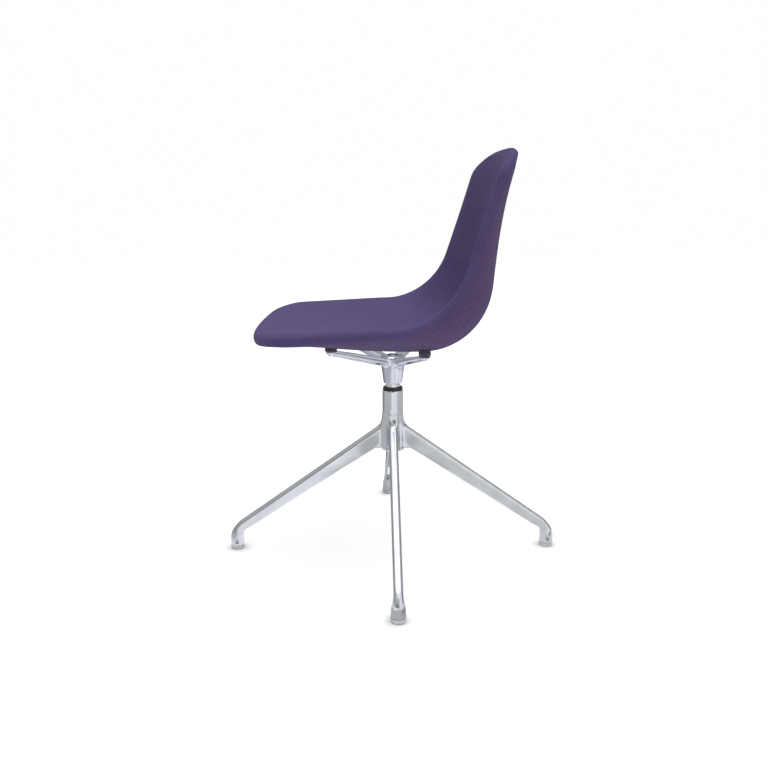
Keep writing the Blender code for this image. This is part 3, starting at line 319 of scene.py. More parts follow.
def top_line(out):
    """Height of a leg's straight top line: it falls from the column by the slope's tangent."""
    return LEG_LINE - math.tan(TOP_SLOPE) * (out - COLUMN_RADIUS)


def under_line(out):
    """Height of a leg's straight under line, which falls from the knee in the same way."""
    return LEG_UNDER - math.tan(UNDER_SLOPE) * (out - LEG_KNEE)


def leg_bends(root_out, root_steps, toe_steps, heel_steps):
    """The bends that join a leg's two lines to the column above and to the foot's sides."""
    down = (math.cos(TOP_SLOPE), -math.sin(TOP_SLOPE))
    up = (-math.cos(UNDER_SLOPE), math.sin(UNDER_SLOPE))
    root = bend((root_out, LEG_LINE), (0, 1), down, ROOT_BEND, root_steps)
    back = (-down[0], -down[1])
    toe = bend((FOOT_OUTER, top_line(FOOT_OUTER)), back, (0, -1), TOE_BEND, toe_steps)
    heel = bend((FOOT_INNER, under_line(FOOT_INNER)), up, (0, -1), HEEL_BEND, heel_steps)
    return root, toe, heel


def leg_profile():
    """The leg's top and under lines in its own upright plane, as (radius, height)."""
    root, toe, heel = leg_bends(COLUMN_RADIUS - 0.0010, 14, 22, 14)
    rise = root[0][1]
    sunk = [(0.0, rise + 0.018), (0.0100, rise + 0.017), (0.0165, rise + 0.009)]
    top = np.vstack([sunk, root, toe, [(FOOT_OUTER, -0.01)]])
    knee = [(0.0, LEG_UNDER), (LEG_KNEE, LEG_UNDER)]
    return top, np.vstack([knee, heel, [(FOOT_INNER, -0.01)]])


def line_distance(points, line):
    """Least distance of points to a line of straight stretches, all worked out at once."""
    start = line[:-1]
    run = line[1:] - start
    off = points[:, None, :] - start
    share = np.clip((off * run).sum(2) / (run ** 2).sum(1), 0, 1)
    return np.sqrt(((off - run * share[..., None]) ** 2).sum(2).min(1))


def inside(points, loop):
    """Whether points lie inside a closed loop: they cross its sides an odd number of times."""
    a = loop
    b = np.roll(loop, -1, axis=0)
    spans = (a[:, 1] > points[:, 1:2]) != (b[:, 1] > points[:, 1:2])
    rise = np.where(b[:, 1] == a[:, 1], 1.0, b[:, 1] - a[:, 1])
    cross = a[:, 0] + (points[:, 1:2] - a[:, 1]) * (b[:, 0] - a[:, 0]) / rise
    return (spans & (points[:, 0:1] < cross)).sum(1) % 2 == 1


def rounded_and(a, b, radius):
    """Where both hold: the greater distance, with the outer edge rounded."""
    corner = np.hypot(np.maximum(a + radius, 0), np.maximum(b + radius, 0))
    return np.minimum(np.maximum(a, b), -radius) + corner


def rounded_or(a, b, radius):
    """Where either holds: the smaller distance, with the inner corner filled by a fillet."""
    corner = np.hypot(np.maximum(radius - a, 0), np.maximum(radius - b, 0))
    return np.maximum(np.minimum(a, b), radius) - corner


def ease(value):
    """Smooth step: three squares less two cubes of the value, held between 0 and 1."""
    value = np.clip(value, 0, 1)
    return value * value * (3 - 2 * value)


LEG_TOP, LEG_BELOW = leg_profile()
LEG_LOOP = np.vstack([LEG_TOP, LEG_BELOW[::-1]])


def leg_distance(out, across, height):
    """Distance to a leg: its upright profile and its width meet in a rounded crown.

    Down the side the width shrinks by the draft, and near the floor the bar becomes the foot.
    """
    flat = np.stack([out, height], 1)
    from_top = line_distance(flat, LEG_TOP)
    edge = np.minimum(from_top, line_distance(flat, LEG_BELOW))
    upright = np.where(inside(flat, LEG_LOOP), -edge, edge)
    swell = ease((FOOT_SWELL[0] - height) / FOOT_SWELL[1])
    half = LEG_HALF - SIDE_DRAFT * np.minimum(from_top, DRAFT_REACH) * (1 - swell)
    faded = ease((from_top - CROWN_FADE[0]) / CROWN_FADE[1])
    crown = LOW_CROWN + (LEG_CROWN - LOW_CROWN) * (1 - faded)
    bar = rounded_and(upright, across - half, crown)
    foot = np.hypot(out - FOOT_PLACE, across) - FOOT_RADIUS
    return bar + (foot - bar) * swell


def base_distance(points):
    """Distance to the whole casting: four legs, their webs and the column, with fillets."""
    x, y, z = np.abs(points[:, 0]), np.abs(points[:, 1]), points[:, 2]
    out = np.maximum(x, y)
    across = np.minimum(x, y)
    leg = leg_distance(out, across, z)
    near = out < WEB_REACH
    neighbour = np.full_like(leg, 1.0)
    neighbour[near] = leg_distance(across[near], out[near], z[near])
    legs = rounded_or(leg, neighbour, WEB_FILLET)
    round_part = np.hypot(x, y) - COLUMN_RADIUS
    ends = np.maximum(z - COLUMN_TOP, COLUMN_FOOT - z)
    column = rounded_and(round_part, ends, EASED_EDGE)
    over, beside, reach = COLUMN_FILLET
    whole = rounded_or(legs, column, over + beside * ease(across / reach))
    return rounded_and(whole, FOOT_END - z, EASED_EDGE)


def tube(outline, steps, centre=(0.0, 0.0)):
    """Surface of revolution: each outline point's radius times cosine and sine of the angle."""
    outline = np.array(outline, float)
    angle = np.linspace(0, 2 * math.pi, steps, endpoint=False)
    x = centre[0] + outline[:, :1] * np.cos(angle)
    y = centre[1] + outline[:, :1] * np.sin(angle)
    z = np.repeat(outline[:, 1:], steps, axis=1)
    return np.stack([x, y, z], 2)


def grid_mesh(grids, hollow=False):
    """Vertices and quads of grids of points. Each row closes on itself as a ring.

    Where the piece is hollow, the last ring joins the first one again.
    """
    verts = []
    quads = []
    start = 0
    for grid in grids:
        rows, columns = grid.shape[:2]
        i, j = np.meshgrid(np.arange(rows), np.arange(columns), indexing="ij")
        here = i * columns
        down = (i + 1) % rows * columns
        beside = (j + 1) % columns
        quad = np.stack([here + j, here + beside, down + beside, down + j], 2)
        quad = quad if hollow else quad[:-1]
        verts.append(grid.reshape(-1, 3))
        quads.append(quad.reshape(-1, 4) + start)
        start += rows * columns
    return np.vstack(verts), np.vstack(quads)


def closed_ends(grid):
    """A lofted grid with its first and last ring drawn together to their middles."""
    first = np.repeat(grid[:1].mean(1, keepdims=True), grid.shape[1], axis=1)
    last = np.repeat(grid[-1:].mean(1, keepdims=True), grid.shape[1], axis=1)
    return np.concatenate([first, grid, last])


CRISP = 35.0


def put(name, verts, faces):
    """An object from arrays: doubles merged, faces outwards, smooth but for crisp edges."""
    mesh = bpy.data.meshes.new(name)
    mesh.from_pydata(verts, [], faces.tolist())
    mesh.validate()
    work = bmesh.new()
    work.from_mesh(mesh)
    bmesh.ops.remove_doubles(work, verts=work.verts, dist=1e-6)
    bmesh.ops.recalc_face_normals(work, faces=work.faces)
    work.to_mesh(mesh)
    work.free()
    mesh.shade_smooth()
    mesh.set_sharp_from_angle(angle=math.radians(CRISP))
    return new_object(name, mesh)


def apply_modifiers(made):
    """The mesh as its modifiers leave it, kept as the object's own."""
    state = bpy.context.evaluated_depsgraph_get()
    state.update()
    mesh = bpy.data.meshes.new_from_object(made.evaluated_get(state))
    made.modifiers.clear()
    made.data = mesh


SLOPE_STEP = 2e-5
LEAST_SLOPE = 0.2
CAST_CRISP = 32.0


def cast(name, rough, distance, voxel, cutters):
    """Rough solids remeshed as one skin, drawn onto the true surface, then cut.

    Each point moves down the distance's slope by the distance over the slope's square, three
    times, and never by more than two voxels.
    """
    made = put(name, *grid_mesh(rough))
    skin = made.modifiers.new("skin", "REMESH")
    skin.mode = "VOXEL"
    skin.voxel_size = voxel
    apply_modifiers(made)
    count = len(made.data.vertices)
    points = np.empty(count * 3)
    made.data.vertices.foreach_get("co", points)
    points = points.reshape(-1, 3)
    for _ in range(3):
        here = distance(points)
        slope = np.empty_like(points)
        for axis in range(3):
            shift = np.zeros(3)
            shift[axis] = SLOPE_STEP
            change = distance(points + shift) - distance(points - shift)
            slope[:, axis] = change / (2 * SLOPE_STEP)
        size = np.maximum((slope ** 2).sum(1), LEAST_SLOPE)
        move = here / size
        points = points - slope * np.clip(move, -2 * voxel, 2 * voxel)[:, None]
    made.data.vertices.foreach_set("co", points.ravel())
    tool = put(name + "_cutter", *grid_mesh(cutters))
    cut = made.modifiers.new("cut", "BOOLEAN")
    cut.operation = "DIFFERENCE"
    cut.solver = "MANIFOLD"
    cut.object = tool
    apply_modifiers(made)
    bpy.data.objects.remove(tool)
    made.data.shade_smooth()
    made.data.set_sharp_from_angle(angle=math.radians(CAST_CRISP))
    return made


def capped_tube(outline, steps, centre=(0.0, 0.0)):
    """A turned solid whose ends are drawn together on its axis."""
    return closed_ends(tube(outline, steps, centre))


def quarter_turns(grid):
    """The same grid at each of the four legs."""
    turned = []
    for k in range(4):
        c, s = round(math.cos(k * math.pi / 2)), round(math.sin(k * math.pi / 2))
        spin = np.array([[c, -s, 0], [s, c, 0], [0, 0, 1]], float)
        turned.append(grid @ spin.T)
    return turned


ROUGH_SWELL = (0.046, 0.0316)
OBLONG = (0.45, 0.55)           # power of the leg's oblong, and what it gains in the round foot


def rough_leg():
    """A leg as rings of sixteen points between its top and under lines.

    A ring is a rounded oblong, cosine and sine to a power, that swells into the round foot.
    """
    root, toe, heel = leg_bends(COLUMN_RADIUS, 8, 12, 12)
    knees = np.stack([np.linspace(COLUMN_RADIUS, LEG_KNEE, 8), np.full(8, LEG_UNDER)], 1)
    top = np.vstack([[(0.008, root[0][1])], root, toe, [(FOOT_OUTER, FOOT_END)]])
    under = np.vstack([[(0.008, LEG_UNDER)], knees, heel, [(FOOT_INNER, FOOT_END)]])
    angle = np.linspace(0, 2 * math.pi, 16, endpoint=False)
    middle = (top + under)[:, None, :] / 2
    half = (top - under)[:, None, :] / 2
    swell = ease((ROUGH_SWELL[0] - top[:, 1]) / ROUGH_SWELL[1])[:, None]
    power = OBLONG[0] + OBLONG[1] * swell
    lift = np.sign(np.sin(angle)) * np.abs(np.sin(angle)) ** power
    wide = np.sign(np.cos(angle)) * np.abs(np.cos(angle)) ** power
    plane = middle + half * lift[..., None]
    across = wide * (LEG_HALF + (FOOT_RADIUS - LEG_HALF) * swell)
    return closed_ends(np.stack([plane[..., 0], across, plane[..., 1]], 2))


CHANNEL_ENDS = (0.048, 0.262)   # from and to, out from the axis
CHANNEL_ROOF = 0.0090           # thickness left under the leg's top line
CHANNEL_HALF = (0.0034, 0.0043)     # half width at the roof and at the mouth


def leg_channel():
    """Cutter for the channel under a leg, a bar that narrows upwards."""
    rings = []
    for out in CHANNEL_ENDS:
        roof = top_line(out) - CHANNEL_ROOF / math.cos(TOP_SLOPE)
        mouth = under_line(out) - 0.005
        upper = [(out, side * CHANNEL_HALF[0], roof) for side in (-1, 1)]
        rings.append(upper + [(out, side * CHANNEL_HALF[1], mouth) for side in (1, -1)])
    return closed_ends(np.array(rings, float))


PIN_RADIUS = 0.0019
PIN_HEIGHT = 0.0170
PIN_MOUTH = 0.0046
BORE_RADIUS = 0.0155
BORE_LEDGE = 0.0172             # wider below, for the lower bush
STEM_HOLE = (0.0058, 0.0268)    # radius and height of the hole that takes a glide's stem
WEB = [(0.0262, LEG_UNDER), (0.0245, 0.246)]    # rough form of the metal between the legs
FIT = 0.0003                    # play between a hole and what goes in it
BASE_VOXEL = 0.00145


def across_foot(outline, steps):
    """A turned solid laid across a foot, its axis along Y at the pin's height."""
    bar = capped_tube(outline, steps)
    return np.stack([bar[..., 0] + FOOT_PLACE, bar[..., 2], bar[..., 1] + PIN_HEIGHT], 2)


bore = [(BORE_LEDGE, 0.200), (BORE_LEDGE, 0.2245), (BORE_RADIUS, 0.2245), (BORE_RADIUS, 0.340)]
mouth = [(PIN_RADIUS + FIT, 0.0064), (PIN_MOUTH, 0.0066), (PIN_MOUTH + 0.0003, 0.0200)]
pin_hole = across_foot([(radius, -reach) for radius, reach in reversed(mouth)] + mouth, 48)
stem_hole = [(STEM_HOLE[0], 0.0), STEM_HOLE]
stem_hole = capped_tube(stem_hole, 32, (FOOT_PLACE, 0.0))
rough = [capped_tube([(COLUMN_RADIUS, COLUMN_FOOT), (COLUMN_RADIUS, COLUMN_TOP)], 64)]
rough += [*quarter_turns(rough_leg()), capped_tube(WEB, 48)]
holes = [capped_tube(bore, 96), *quarter_turns(stem_hole), *quarter_turns(pin_hole)]
holes += quarter_turns(leg_channel())
base = cast("base_body", rough, base_distance, BASE_VOXEL, holes)


def new_finish(name):
    """A material, its shader, and the Object coordinates as a first wire."""
    made = bpy.data.materials.new(name)
    made.use_nodes = True
    shader = made.node_tree.nodes["Principled BSDF"]
    start = Wire(made.node_tree, shader.outputs[0])
    return made, shader, start.make("ShaderNodeTexCoord", None, None, 3)


def noise(place, scale, detail):
    """Noise at a place, as a value from 0 to 1 about 0.5."""
    values = {"Vector": place, "Scale": scale, "Detail": detail}
    return place.make("ShaderNodeTexNoise", None, values)


def shades(pattern, colour, low, high):
    """A colour that goes from one multiple of itself to another with a pattern."""
    dark = tuple(c * low for c in colour) + (1.0,)
    light = tuple(min(c * high, 1.0) for c in colour) + (1.0,)
    return pattern.between(0.3, 0.7).blend(dark, light)


def fill(shader, colour, roughness, height, strength, depth):
    """Links a colour, a roughness and the bump of a height to a shader."""
    relief = {"Height": height, "Strength": strength, "Distance": depth}
    relief = height.make("ShaderNodeBump", None, relief)
    for socket, value in (("Base Color", colour), ("Roughness", roughness), ("Normal", relief)):
        value.tree.links.new(value.output, shader.inputs[socket])


def metal(name, colour, roughness, grain, bump):
    """Polished metal: fine cloudy roughness from the mop, and hardly any waviness."""
    made, shader, place = new_finish(name)
    shader.inputs["Metallic"].default_value = 1.0
    cloud = noise(place, grain, 3.0)
    waves = cloud + 0.15 * noise(place, grain * 9, 2.0)
    rough = roughness * (0.75 + 0.5 * cloud)
    fill(shader, shades(cloud, colour, 0.94, 1.05), rough, waves, bump, 0.0004)
    return made


def finish_piece(made, finish, slot, body, *nodes):
    """Gives a piece its material, hides the nodes it stands for, and attaches it to what it moves
    with.
    """
    made.data.materials.clear()
    made.data.materials.append(finish)
    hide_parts(*nodes)
    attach(made, body)


POLISHED = metal("polished_casting", (0.640, 0.660, 0.700), 0.12, 26.0, 0.10)
finish_piece(base, POLISHED, "polished_aluminium", "base", "base_casting")


# Foot glides
# Grey moulded discs whose stems are pushed up into the feet.
# A bright steel pin driven across each foot holds the stem, and its ends show in the foot's sides.

GLIDE_TOP = 0.0072
STEM_RADIUS = 0.0055
FEET = ("left", "rear", "right", "front")


def plastic(name, colour, roughness, grain, depth):
    """Moulded plastic: an even colour with slight cloudiness and a fine eroded skin."""
    made, shader, place = new_finish(name)
    cloud = noise(place, 45.0, 3.0)
    skin = noise(place, grain, 2.0)
    rough = roughness * (0.85 + 0.3 * skin)
    fill(shader, shades(cloud, colour, 0.88, 1.12), rough, skin, 0.3, depth)
    return made


def piece(name, grids, finish, slot, body, *nodes, hollow=False):
    """A finished piece made of grids."""
    finish_piece(put(name, *grid_mesh(grids, hollow)), finish, slot, body, *nodes)


def dress(finish, *names):
    """Gives CAD nodes that stay as they are a material."""
    for name in names:
        for holder in nodes[name].material_slots:
            holder.material = finish


GLIDE_GREY = plastic("grey_glide", (0.82, 0.83, 0.85), 0.24, 900.0, 0.0001)
BRIGHT = metal("bright_steel", (0.70, 0.71, 0.73), 0.10, 60.0, 0.05)
glide_side = [                  # inwards from the foot's side, height
    (0.0032, 0.0), (0.0018, 0.0002), (0.0008, 0.0009), (0.0003, 0.0020), (0.0, 0.0060),
    (0.0001, 0.0068), (0.0005, GLIDE_TOP),
]
glide_outline = [(FOOT_RADIUS - inset, z) for inset, z in glide_side]
glide_outline += [(STEM_RADIUS, GLIDE_TOP), (STEM_RADIUS, 0.0260), (STEM_RADIUS - 0.0006, 0.0265)]
head = [(PIN_RADIUS, 0.0112), (0.0017, 0.0116), (0.0012, 0.0119), (0.0006, 0.0120)]
pin_outline = [(radius, -reach) for radius, reach in reversed(head)] + head
glides = quarter_turns(capped_tube(glide_outline, 96, (FOOT_PLACE, 0.0)))
pins = quarter_turns(across_foot(pin_outline, 40))
for foot, glide_grid, pin_grid in zip(FEET, glides, pins):
    piece("glide_" + foot, [glide_grid], GLIDE_GREY, "grey_glide_plastic", "base",
          "foot_glide_" + foot)
    piece("cross_pin_" + foot, [pin_grid], BRIGHT, "bright_steel", "base", "glide_pin_" + foot)


# Swivel bearing
# A black flanged nylon bush in the column's mouth, another in its foot, and a plug below.
# The turned steel spindle runs in them, and its bright neck shows between flange and hub.

COLLAR_TOP = 0.3405
HUB_FOOT = 0.3482
NECK_TOP = 0.3560
SPIGOT_TOP = 0.3900
SPINDLE_RADIUS = 0.0125
GROOVE = 0.0012                 # depth of the retaining ring's groove
BLACK_NYLON = plastic("black_bush_nylon", (0.012, 0.012, 0.014), 0.22, 700.0, 0.00006)
ZINC = metal("zinc_plating", (0.58, 0.60, 0.63), 0.26, 90.0, 0.12)


def heights(name):
    """Lowest and highest Z of a CAD node."""
    low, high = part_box(name)
    return low[2], high[2]


bush_outline = [
    (SPINDLE_RADIUS + 0.0004, 0.3118),
    (0.0152, 0.3118), (0.0152, 0.3341), (0.0192, 0.3341), (0.0197, 0.3346), (0.0199, 0.3362),
    (0.0198, 0.3378), (0.0194, 0.3392), (0.0187, 0.3400), (0.0178, COLLAR_TOP - 0.0003),
    (SPINDLE_RADIUS + 0.0004, COLLAR_TOP - 0.0003),
]
piece("bush_ring", [tube(bush_outline, 128)], BLACK_NYLON, "black_nylon", "base", "upper_bush",
      hollow=True)
dress(BLACK_NYLON, "lower_bush", "column_plug")
dress(ZINC, "thrust_washer", "retaining_ring", "spindle_washer", "spindle_screw")

spindle_foot = heights("spindle")[0]
ring_low, ring_high = heights("retaining_ring")
spindle_outline = [
    (SPINDLE_RADIUS - 0.0005, spindle_foot),
    (SPINDLE_RADIUS, spindle_foot + 0.0005),
    (SPINDLE_RADIUS, ring_low - FIT),
    (SPINDLE_RADIUS - GROOVE, ring_low - FIT),
    (SPINDLE_RADIUS - GROOVE, ring_high + FIT),
    (SPINDLE_RADIUS, ring_high + FIT),
    (SPINDLE_RADIUS, COLLAR_TOP + FIT),
    (0.0140, COLLAR_TOP + FIT),
    (0.0144, COLLAR_TOP + 0.0007),
    (0.0144, NECK_TOP),
    (SPINDLE_RADIUS, NECK_TOP),
    (SPINDLE_RADIUS - 0.0010, SPIGOT_TOP),
    (0.0041, SPIGOT_TOP),
    (0.0041, SPIGOT_TOP - 0.0300),
]
piece("turned_spindle", [capped_tube(spindle_outline, 128)], BRIGHT, "bright_steel", "seat",
      "spindle")


# Seat spider
# One polished casting: a hub cone pulled onto the spindle, and four arms that rise to the seat.
# The arms have a flat top and a rounded belly, and end in round pads over the screws.

HUB_TOP = 0.4010
ARM_ROOT_UNDER = 0.3832
ARM_SPAN = 0.1000               # X of the screws; below, distances out from the axis
ARM_START = 0.020
ARM_TAIL = 0.006                # the inner end, rounded off inside the hub
ARM_SUNK = 0.0003               # the arms' top starts this far below the hub's
ARM_HALF = 0.0115
ARM_TAPER = 0.0015
ARM_EDGE = 0.0016
ARM_FILLET = 0.012
HUB_FILLET = 0.0060
PAD_OVERHANG = 0.0100
PAD_FLAT = 0.0118
SPIDER_VOXEL = 0.0009
ARMS = {                        # Y, pad height and underside of the two arms on a side
    "front": (-0.1180, 0.4308, 0.4245),
    "rear": (0.0560, 0.4195, 0.4155),
}
HUB_LINE = np.array([
    (0.0, HUB_FOOT), (0.0178, HUB_FOOT), (0.0184, HUB_FOOT + 0.0006), (0.0220, 0.3760),
    (0.0223, 0.3795), (0.0220, 0.3850), (0.0206, 0.3965), (0.0200, 0.4000), (0.0190, 0.4008),
    (0.0, 0.4008),
])


def arm_lines(out, mount_y, pad_top, tip_under):
    """Top height, underside height and half width of an arm at distances from the axis.

    All three change evenly: the top and the width up to the pad's flat, the underside to the tip.
    """
    reach = math.hypot(ARM_SPAN, mount_y)
    climbed = np.clip((out - ARM_START) / (reach - PAD_FLAT - ARM_START), 0, 1)
    top = HUB_TOP - ARM_SUNK + (pad_top - HUB_TOP + ARM_SUNK) * climbed
    run = reach + PAD_OVERHANG - ARM_START
    under = ARM_ROOT_UNDER + (tip_under - ARM_ROOT_UNDER) * (out - ARM_START) / run
    return top, under, ARM_HALF - ARM_TAPER * climbed


def arm_distance(points, mount_y, pad_top, tip_under):
    """Distance to an arm: an elliptic belly under a flat top, ended by a round pad.

    The distance is what the ellipse's equation leaves, over its own slope.
    """
    reach = math.hypot(ARM_SPAN, mount_y)
    x, y, z = points[:, 0], points[:, 1], points[:, 2]
    out = (x * ARM_SPAN + y * mount_y) / reach
    across = (y * ARM_SPAN - x * mount_y) / reach
    held = np.clip(out, ARM_TAIL, reach + PAD_OVERHANG)
    top, under, half = arm_lines(held, mount_y, pad_top, tip_under)
    beyond = np.maximum(out - reach, 0) * half / PAD_OVERHANG
    before = np.maximum(ARM_TAIL - out, 0)
    wide = np.sqrt(across ** 2 + beyond ** 2 + before ** 2)
    deep = top - z
    depth = top - under
    ring = np.sqrt((wide / half) ** 2 + (deep / depth) ** 2) + 1e-9
    slope = np.sqrt((wide / half ** 2) ** 2 + (deep / depth ** 2) ** 2) / ring + 1e-9
    return rounded_and((ring - 1) / slope, -deep, ARM_EDGE)


def spider_distance(points):
    """Distance to the whole spider, folded over the mirror plane, with filleted meetings."""
    folded = points.copy()
    folded[:, 0] = np.abs(folded[:, 0])
    flat = np.stack([np.hypot(folded[:, 0], folded[:, 1]), folded[:, 2]], 1)
    edge = line_distance(flat, HUB_LINE)
    hub = np.where(inside(flat, HUB_LINE), -edge, edge)
    front = arm_distance(folded, *ARMS["front"])
    rear = arm_distance(folded, *ARMS["rear"])
    return rounded_or(rounded_or(front, rear, ARM_FILLET), hub, HUB_FILLET)


def rough_arm(mount_y, pad_top, tip_under, side):
    """An arm as rings of twenty points along its length, half ellipses under a flat top."""
    reach = math.hypot(ARM_SPAN, mount_y)
    tip = reach + PAD_OVERHANG * np.sin([0.4, 0.8, 1.2, 1.5])
    stations = np.concatenate([np.linspace(0.004, reach, 24), tip])
    top, under, half = arm_lines(np.maximum(stations, 0.0), mount_y, pad_top, tip_under)
    half = half * np.sqrt(1 - np.clip((stations - reach) / PAD_OVERHANG, 0, 0.998) ** 2)
    angle = np.linspace(0, 2 * math.pi, 20, endpoint=False)
    across = half[:, None] * np.cos(angle)
    height = top[:, None] + (top - under)[:, None] * np.minimum(np.sin(angle), 0)
    x = side * (stations[:, None] * ARM_SPAN - across * mount_y) / reach
    y = (stations[:, None] * mount_y + across * ARM_SPAN) / reach
    return closed_ends(np.stack([x, y, height], 2))


rough = [capped_tube(HUB_LINE[1:-1], 96)]
rough += [rough_arm(*lines, side) for lines in ARMS.values() for side in (1, -1)]
socket = [
    (0.0147, HUB_FOOT - 0.005),
    (0.0147, NECK_TOP + FIT),
    (SPINDLE_RADIUS + FIT, NECK_TOP + FIT),
    (SPINDLE_RADIUS - 0.0007, SPIGOT_TOP + FIT),
    (0.0045, SPIGOT_TOP + FIT),
    (0.0045, HUB_TOP - 0.0070),
    (0.0105, HUB_TOP - 0.0070),
    (0.0105, HUB_TOP + 0.005),
]
holes = [capped_tube(socket, 96)]
mounts = [(name + "_" + hand, side * ARM_SPAN, *lines) for name, lines in ARMS.items()
          for hand, side in (("left", 1), ("right", -1))]
for name, x, y, pad_top, tip_under in mounts:
    seat = heights("screw_washer_" + name)[1] + FIT
    hole = [(0.0065, seat - 0.010), (0.0065, seat), (0.0036, seat), (0.0036, pad_top + 0.004)]
    holes.append(capped_tube(hole, 48, (x, y)))
spider = cast("spider_body", rough, spider_distance, SPIDER_VOXEL, holes)
# Bluer than the base casting: the colour holds a painted reflection of the violet seat above.
SPIDER_WITH_PAINTED_REFLECTION = metal("polished_spider_painted_reflection", (0.620, 0.646, 0.735), 0.12, 26.0, 0.10)
finish_piece(spider, SPIDER_WITH_PAINTED_REFLECTION, "polished_aluminium", "seat", "seat_spider")


# Seat screws and spacers
# Zinc-plated socket screws go up through the pads into brass inserts in the shell's bosses.
# Dark moulded spacers, thin in front and tall at the rear, hold the seat off the arms.

DARK_NYLON = plastic("dark_violet_spacer", (0.050, 0.036, 0.092), 0.40, 800.0, 0.00008)
BRASS = metal("machined_brass", (0.72, 0.55, 0.26), 0.22, 120.0, 0.10)
SCREW_STEPS = 48
HEAD_HEIGHT = 0.0028
RECESS_RADIUS = 0.0020
RECESS_DEPTH = 0.0019
SHANK_RADIUS = 0.0029


def hexagon(radius, angle):
    """How far a hexagon's outline is from its middle: its flats' distance, divided by the
    cosine of the angle from the middle of a flat.
    """
    off = angle % (math.pi / 3) - math.pi / 6
    return radius * math.cos(math.pi / 6) / np.cos(off)


def screw_grid(x, y, head_low, head_high, tip):
    """A button screw seen from below: hexagon recess, domed head, shank with a chamfered end."""
    outline = [(0.0030, 0.0), (0.0038, 0.0), (0.0045, 0.0004), (0.0049, 0.0010), (0.0050, 0.0016)]
    outline = [(radius, head_low + z) for radius, z in outline]
    outline += [(0.0050, head_high), (SHANK_RADIUS, head_high)]
    outline += [(SHANK_RADIUS, tip - 0.0005), (0.0024, tip)]
    angle = np.linspace(0, 2 * math.pi, SCREW_STEPS, endpoint=False)
    flats = hexagon(RECESS_RADIUS, angle)
    hole = [[x + flats * np.cos(angle), y + flats * np.sin(angle), np.full(SCREW_STEPS, z)]
            for z in (head_low + RECESS_DEPTH, head_low)]
    rings = [np.array(hole).transpose(0, 2, 1), tube(outline, SCREW_STEPS, (x, y))]
    return closed_ends(np.concatenate(rings))


for name, x, y, pad_top, tip_under in mounts:
    low, high = heights("spacer_" + name)
    eased = min(0.0006, (high - low) / 3)
    spacer = [
        (0.0036, low),
        (0.0108 - eased, low),
        (0.0108, low + eased),
        (0.0120, high - eased),
        (0.0120 - eased, high),
        (0.0036, high),
    ]
    piece("standoff_" + name, [tube(spacer, 96, (x, y))], DARK_NYLON, "dark_violet_nylon", "seat",
          "spacer_" + name, hollow=True)
    low, high = heights("screw_washer_" + name)
    washer = [(0.0032, low), (0.0060, low), (0.0062, low + 0.0002), (0.0062, high), (0.0032, high)]
    piece("flat_washer_" + name, [tube(washer, 64, (x, y))], ZINC, "zinc_plated_steel", "seat",
          "screw_washer_" + name, hollow=True)
    low, high = heights("seat_screw_" + name)
    piece("socket_screw_" + name, [screw_grid(x, y, low, low + HEAD_HEIGHT, high)], ZINC,
          "zinc_plated_steel", "seat", "seat_screw_" + name)
    dress(BRASS, "threaded_insert_" + name)


# Shell
# One moulded black shell carries the seat and the back; four bosses under it hold the inserts.
# It shows only as the bosses' rings around the spacers.

SHELL_BLACK = plastic("black_shell", (0.026, 0.020, 0.036), 0.45, 500.0, 0.0002)
dress(SHELL_BLACK, "seat_shell")
nodes["seat_shell"].visible_glossy = False


# Seat and back pad
# Foam over the shell under one fabric cover, drawn over the rolled edge to a seam behind it.
# The surface runs between a dished middle line and a steeper rim line, each a seat, bend and back.

DISH_POWER = 2.08
SEAT_HALF = 0.2040
BACK_HALF = 0.1840
FRONT_CORNER = (0.0636, 0.0374)
TOP_CORNER = (0.0978, 0.0261)
NARROWING = (0.35, 0.3)         # share where the seat narrows into the back, and over how much
BULGE = 0.0152                  # thicker under the sitter: by how much, about which share, how far
BULGE_MIDDLE = 0.314
BULGE_REACH = 0.34
EDGE = 0.0261                   # thickness at the rim
ROLL = EDGE / 2
SEAM = math.radians(-55)
BACK_DEPTH = 0.0030             # back cover with its thin foam
SHELL_DEPTH = 0.0050
LAYER_GAP = 0.0006
NORMAL_STEP = 0.002
GRID = (10, 96, 66)             # rows in a corner, rows between corners, columns
WEAVE = 260.0


class Profile:
    """A side line of the shell: straight seat, round bend, and a back that may curl rearwards."""

    def __init__(self, start, corner, radius, lean, top, curl):
        """The seat runs from start to corner, (Y, Z), and the back from there up to the top.

        The bend between them has a radius, the back leans rearwards by an angle, and its top
        end curls rearwards by a length.
        """
        self.start = np.array(start)
        self.radius = radius
        run = np.array(corner) - self.start
        self.seat_way = run / np.linalg.norm(run)
        self.back_way = np.array((math.sin(lean), math.cos(lean)))
        self.turn = math.acos(float(self.seat_way @ self.back_way))
        reach = radius * math.tan(self.turn / 2)
        self.seat_length = np.linalg.norm(run) - reach
        self.rise = np.array((-self.seat_way[1], self.seat_way[0]))
        self.centre = self.start + self.seat_way * self.seat_length + self.rise * radius
        self.bend_end = np.array(corner) + self.back_way * reach
        self.back_length = (top - self.bend_end[1]) / self.back_way[1]
        self.length = self.seat_length + radius * self.turn + self.back_length
        self.curl = np.array((curl, 0.0))

    def walk(self, share):
        """Points at shares of the line's length: seat line, then arc, then curling back line.

        The curl grows with the cube of the share of the back that is climbed.
        """
        gone = share[..., None] * self.length
        seat = self.start + self.seat_way * gone
        angle = (gone - self.seat_length) / self.radius
        arc = self.centre + self.radius * (np.sin(angle) * self.seat_way - np.cos(angle) * self.rise)
        climbed = gone - self.seat_length - self.radius * self.turn
        bent = self.curl * np.clip(climbed / self.back_length, 0, None) ** 3
        back = self.bend_end + self.back_way * climbed + bent
        return np.where(gone < self.seat_length, seat, np.where(climbed > 0, back, arc))


MIDDLE = Profile((-0.2527, 0.4699), (0.1583, 0.4490), 0.1020, math.radians(3.8), 0.7897, 0.0200)
RIM = Profile((-0.2270, 0.4819), (0.0915, 0.4975), 0.1330, math.radians(16.4), 0.7744, 0.0)


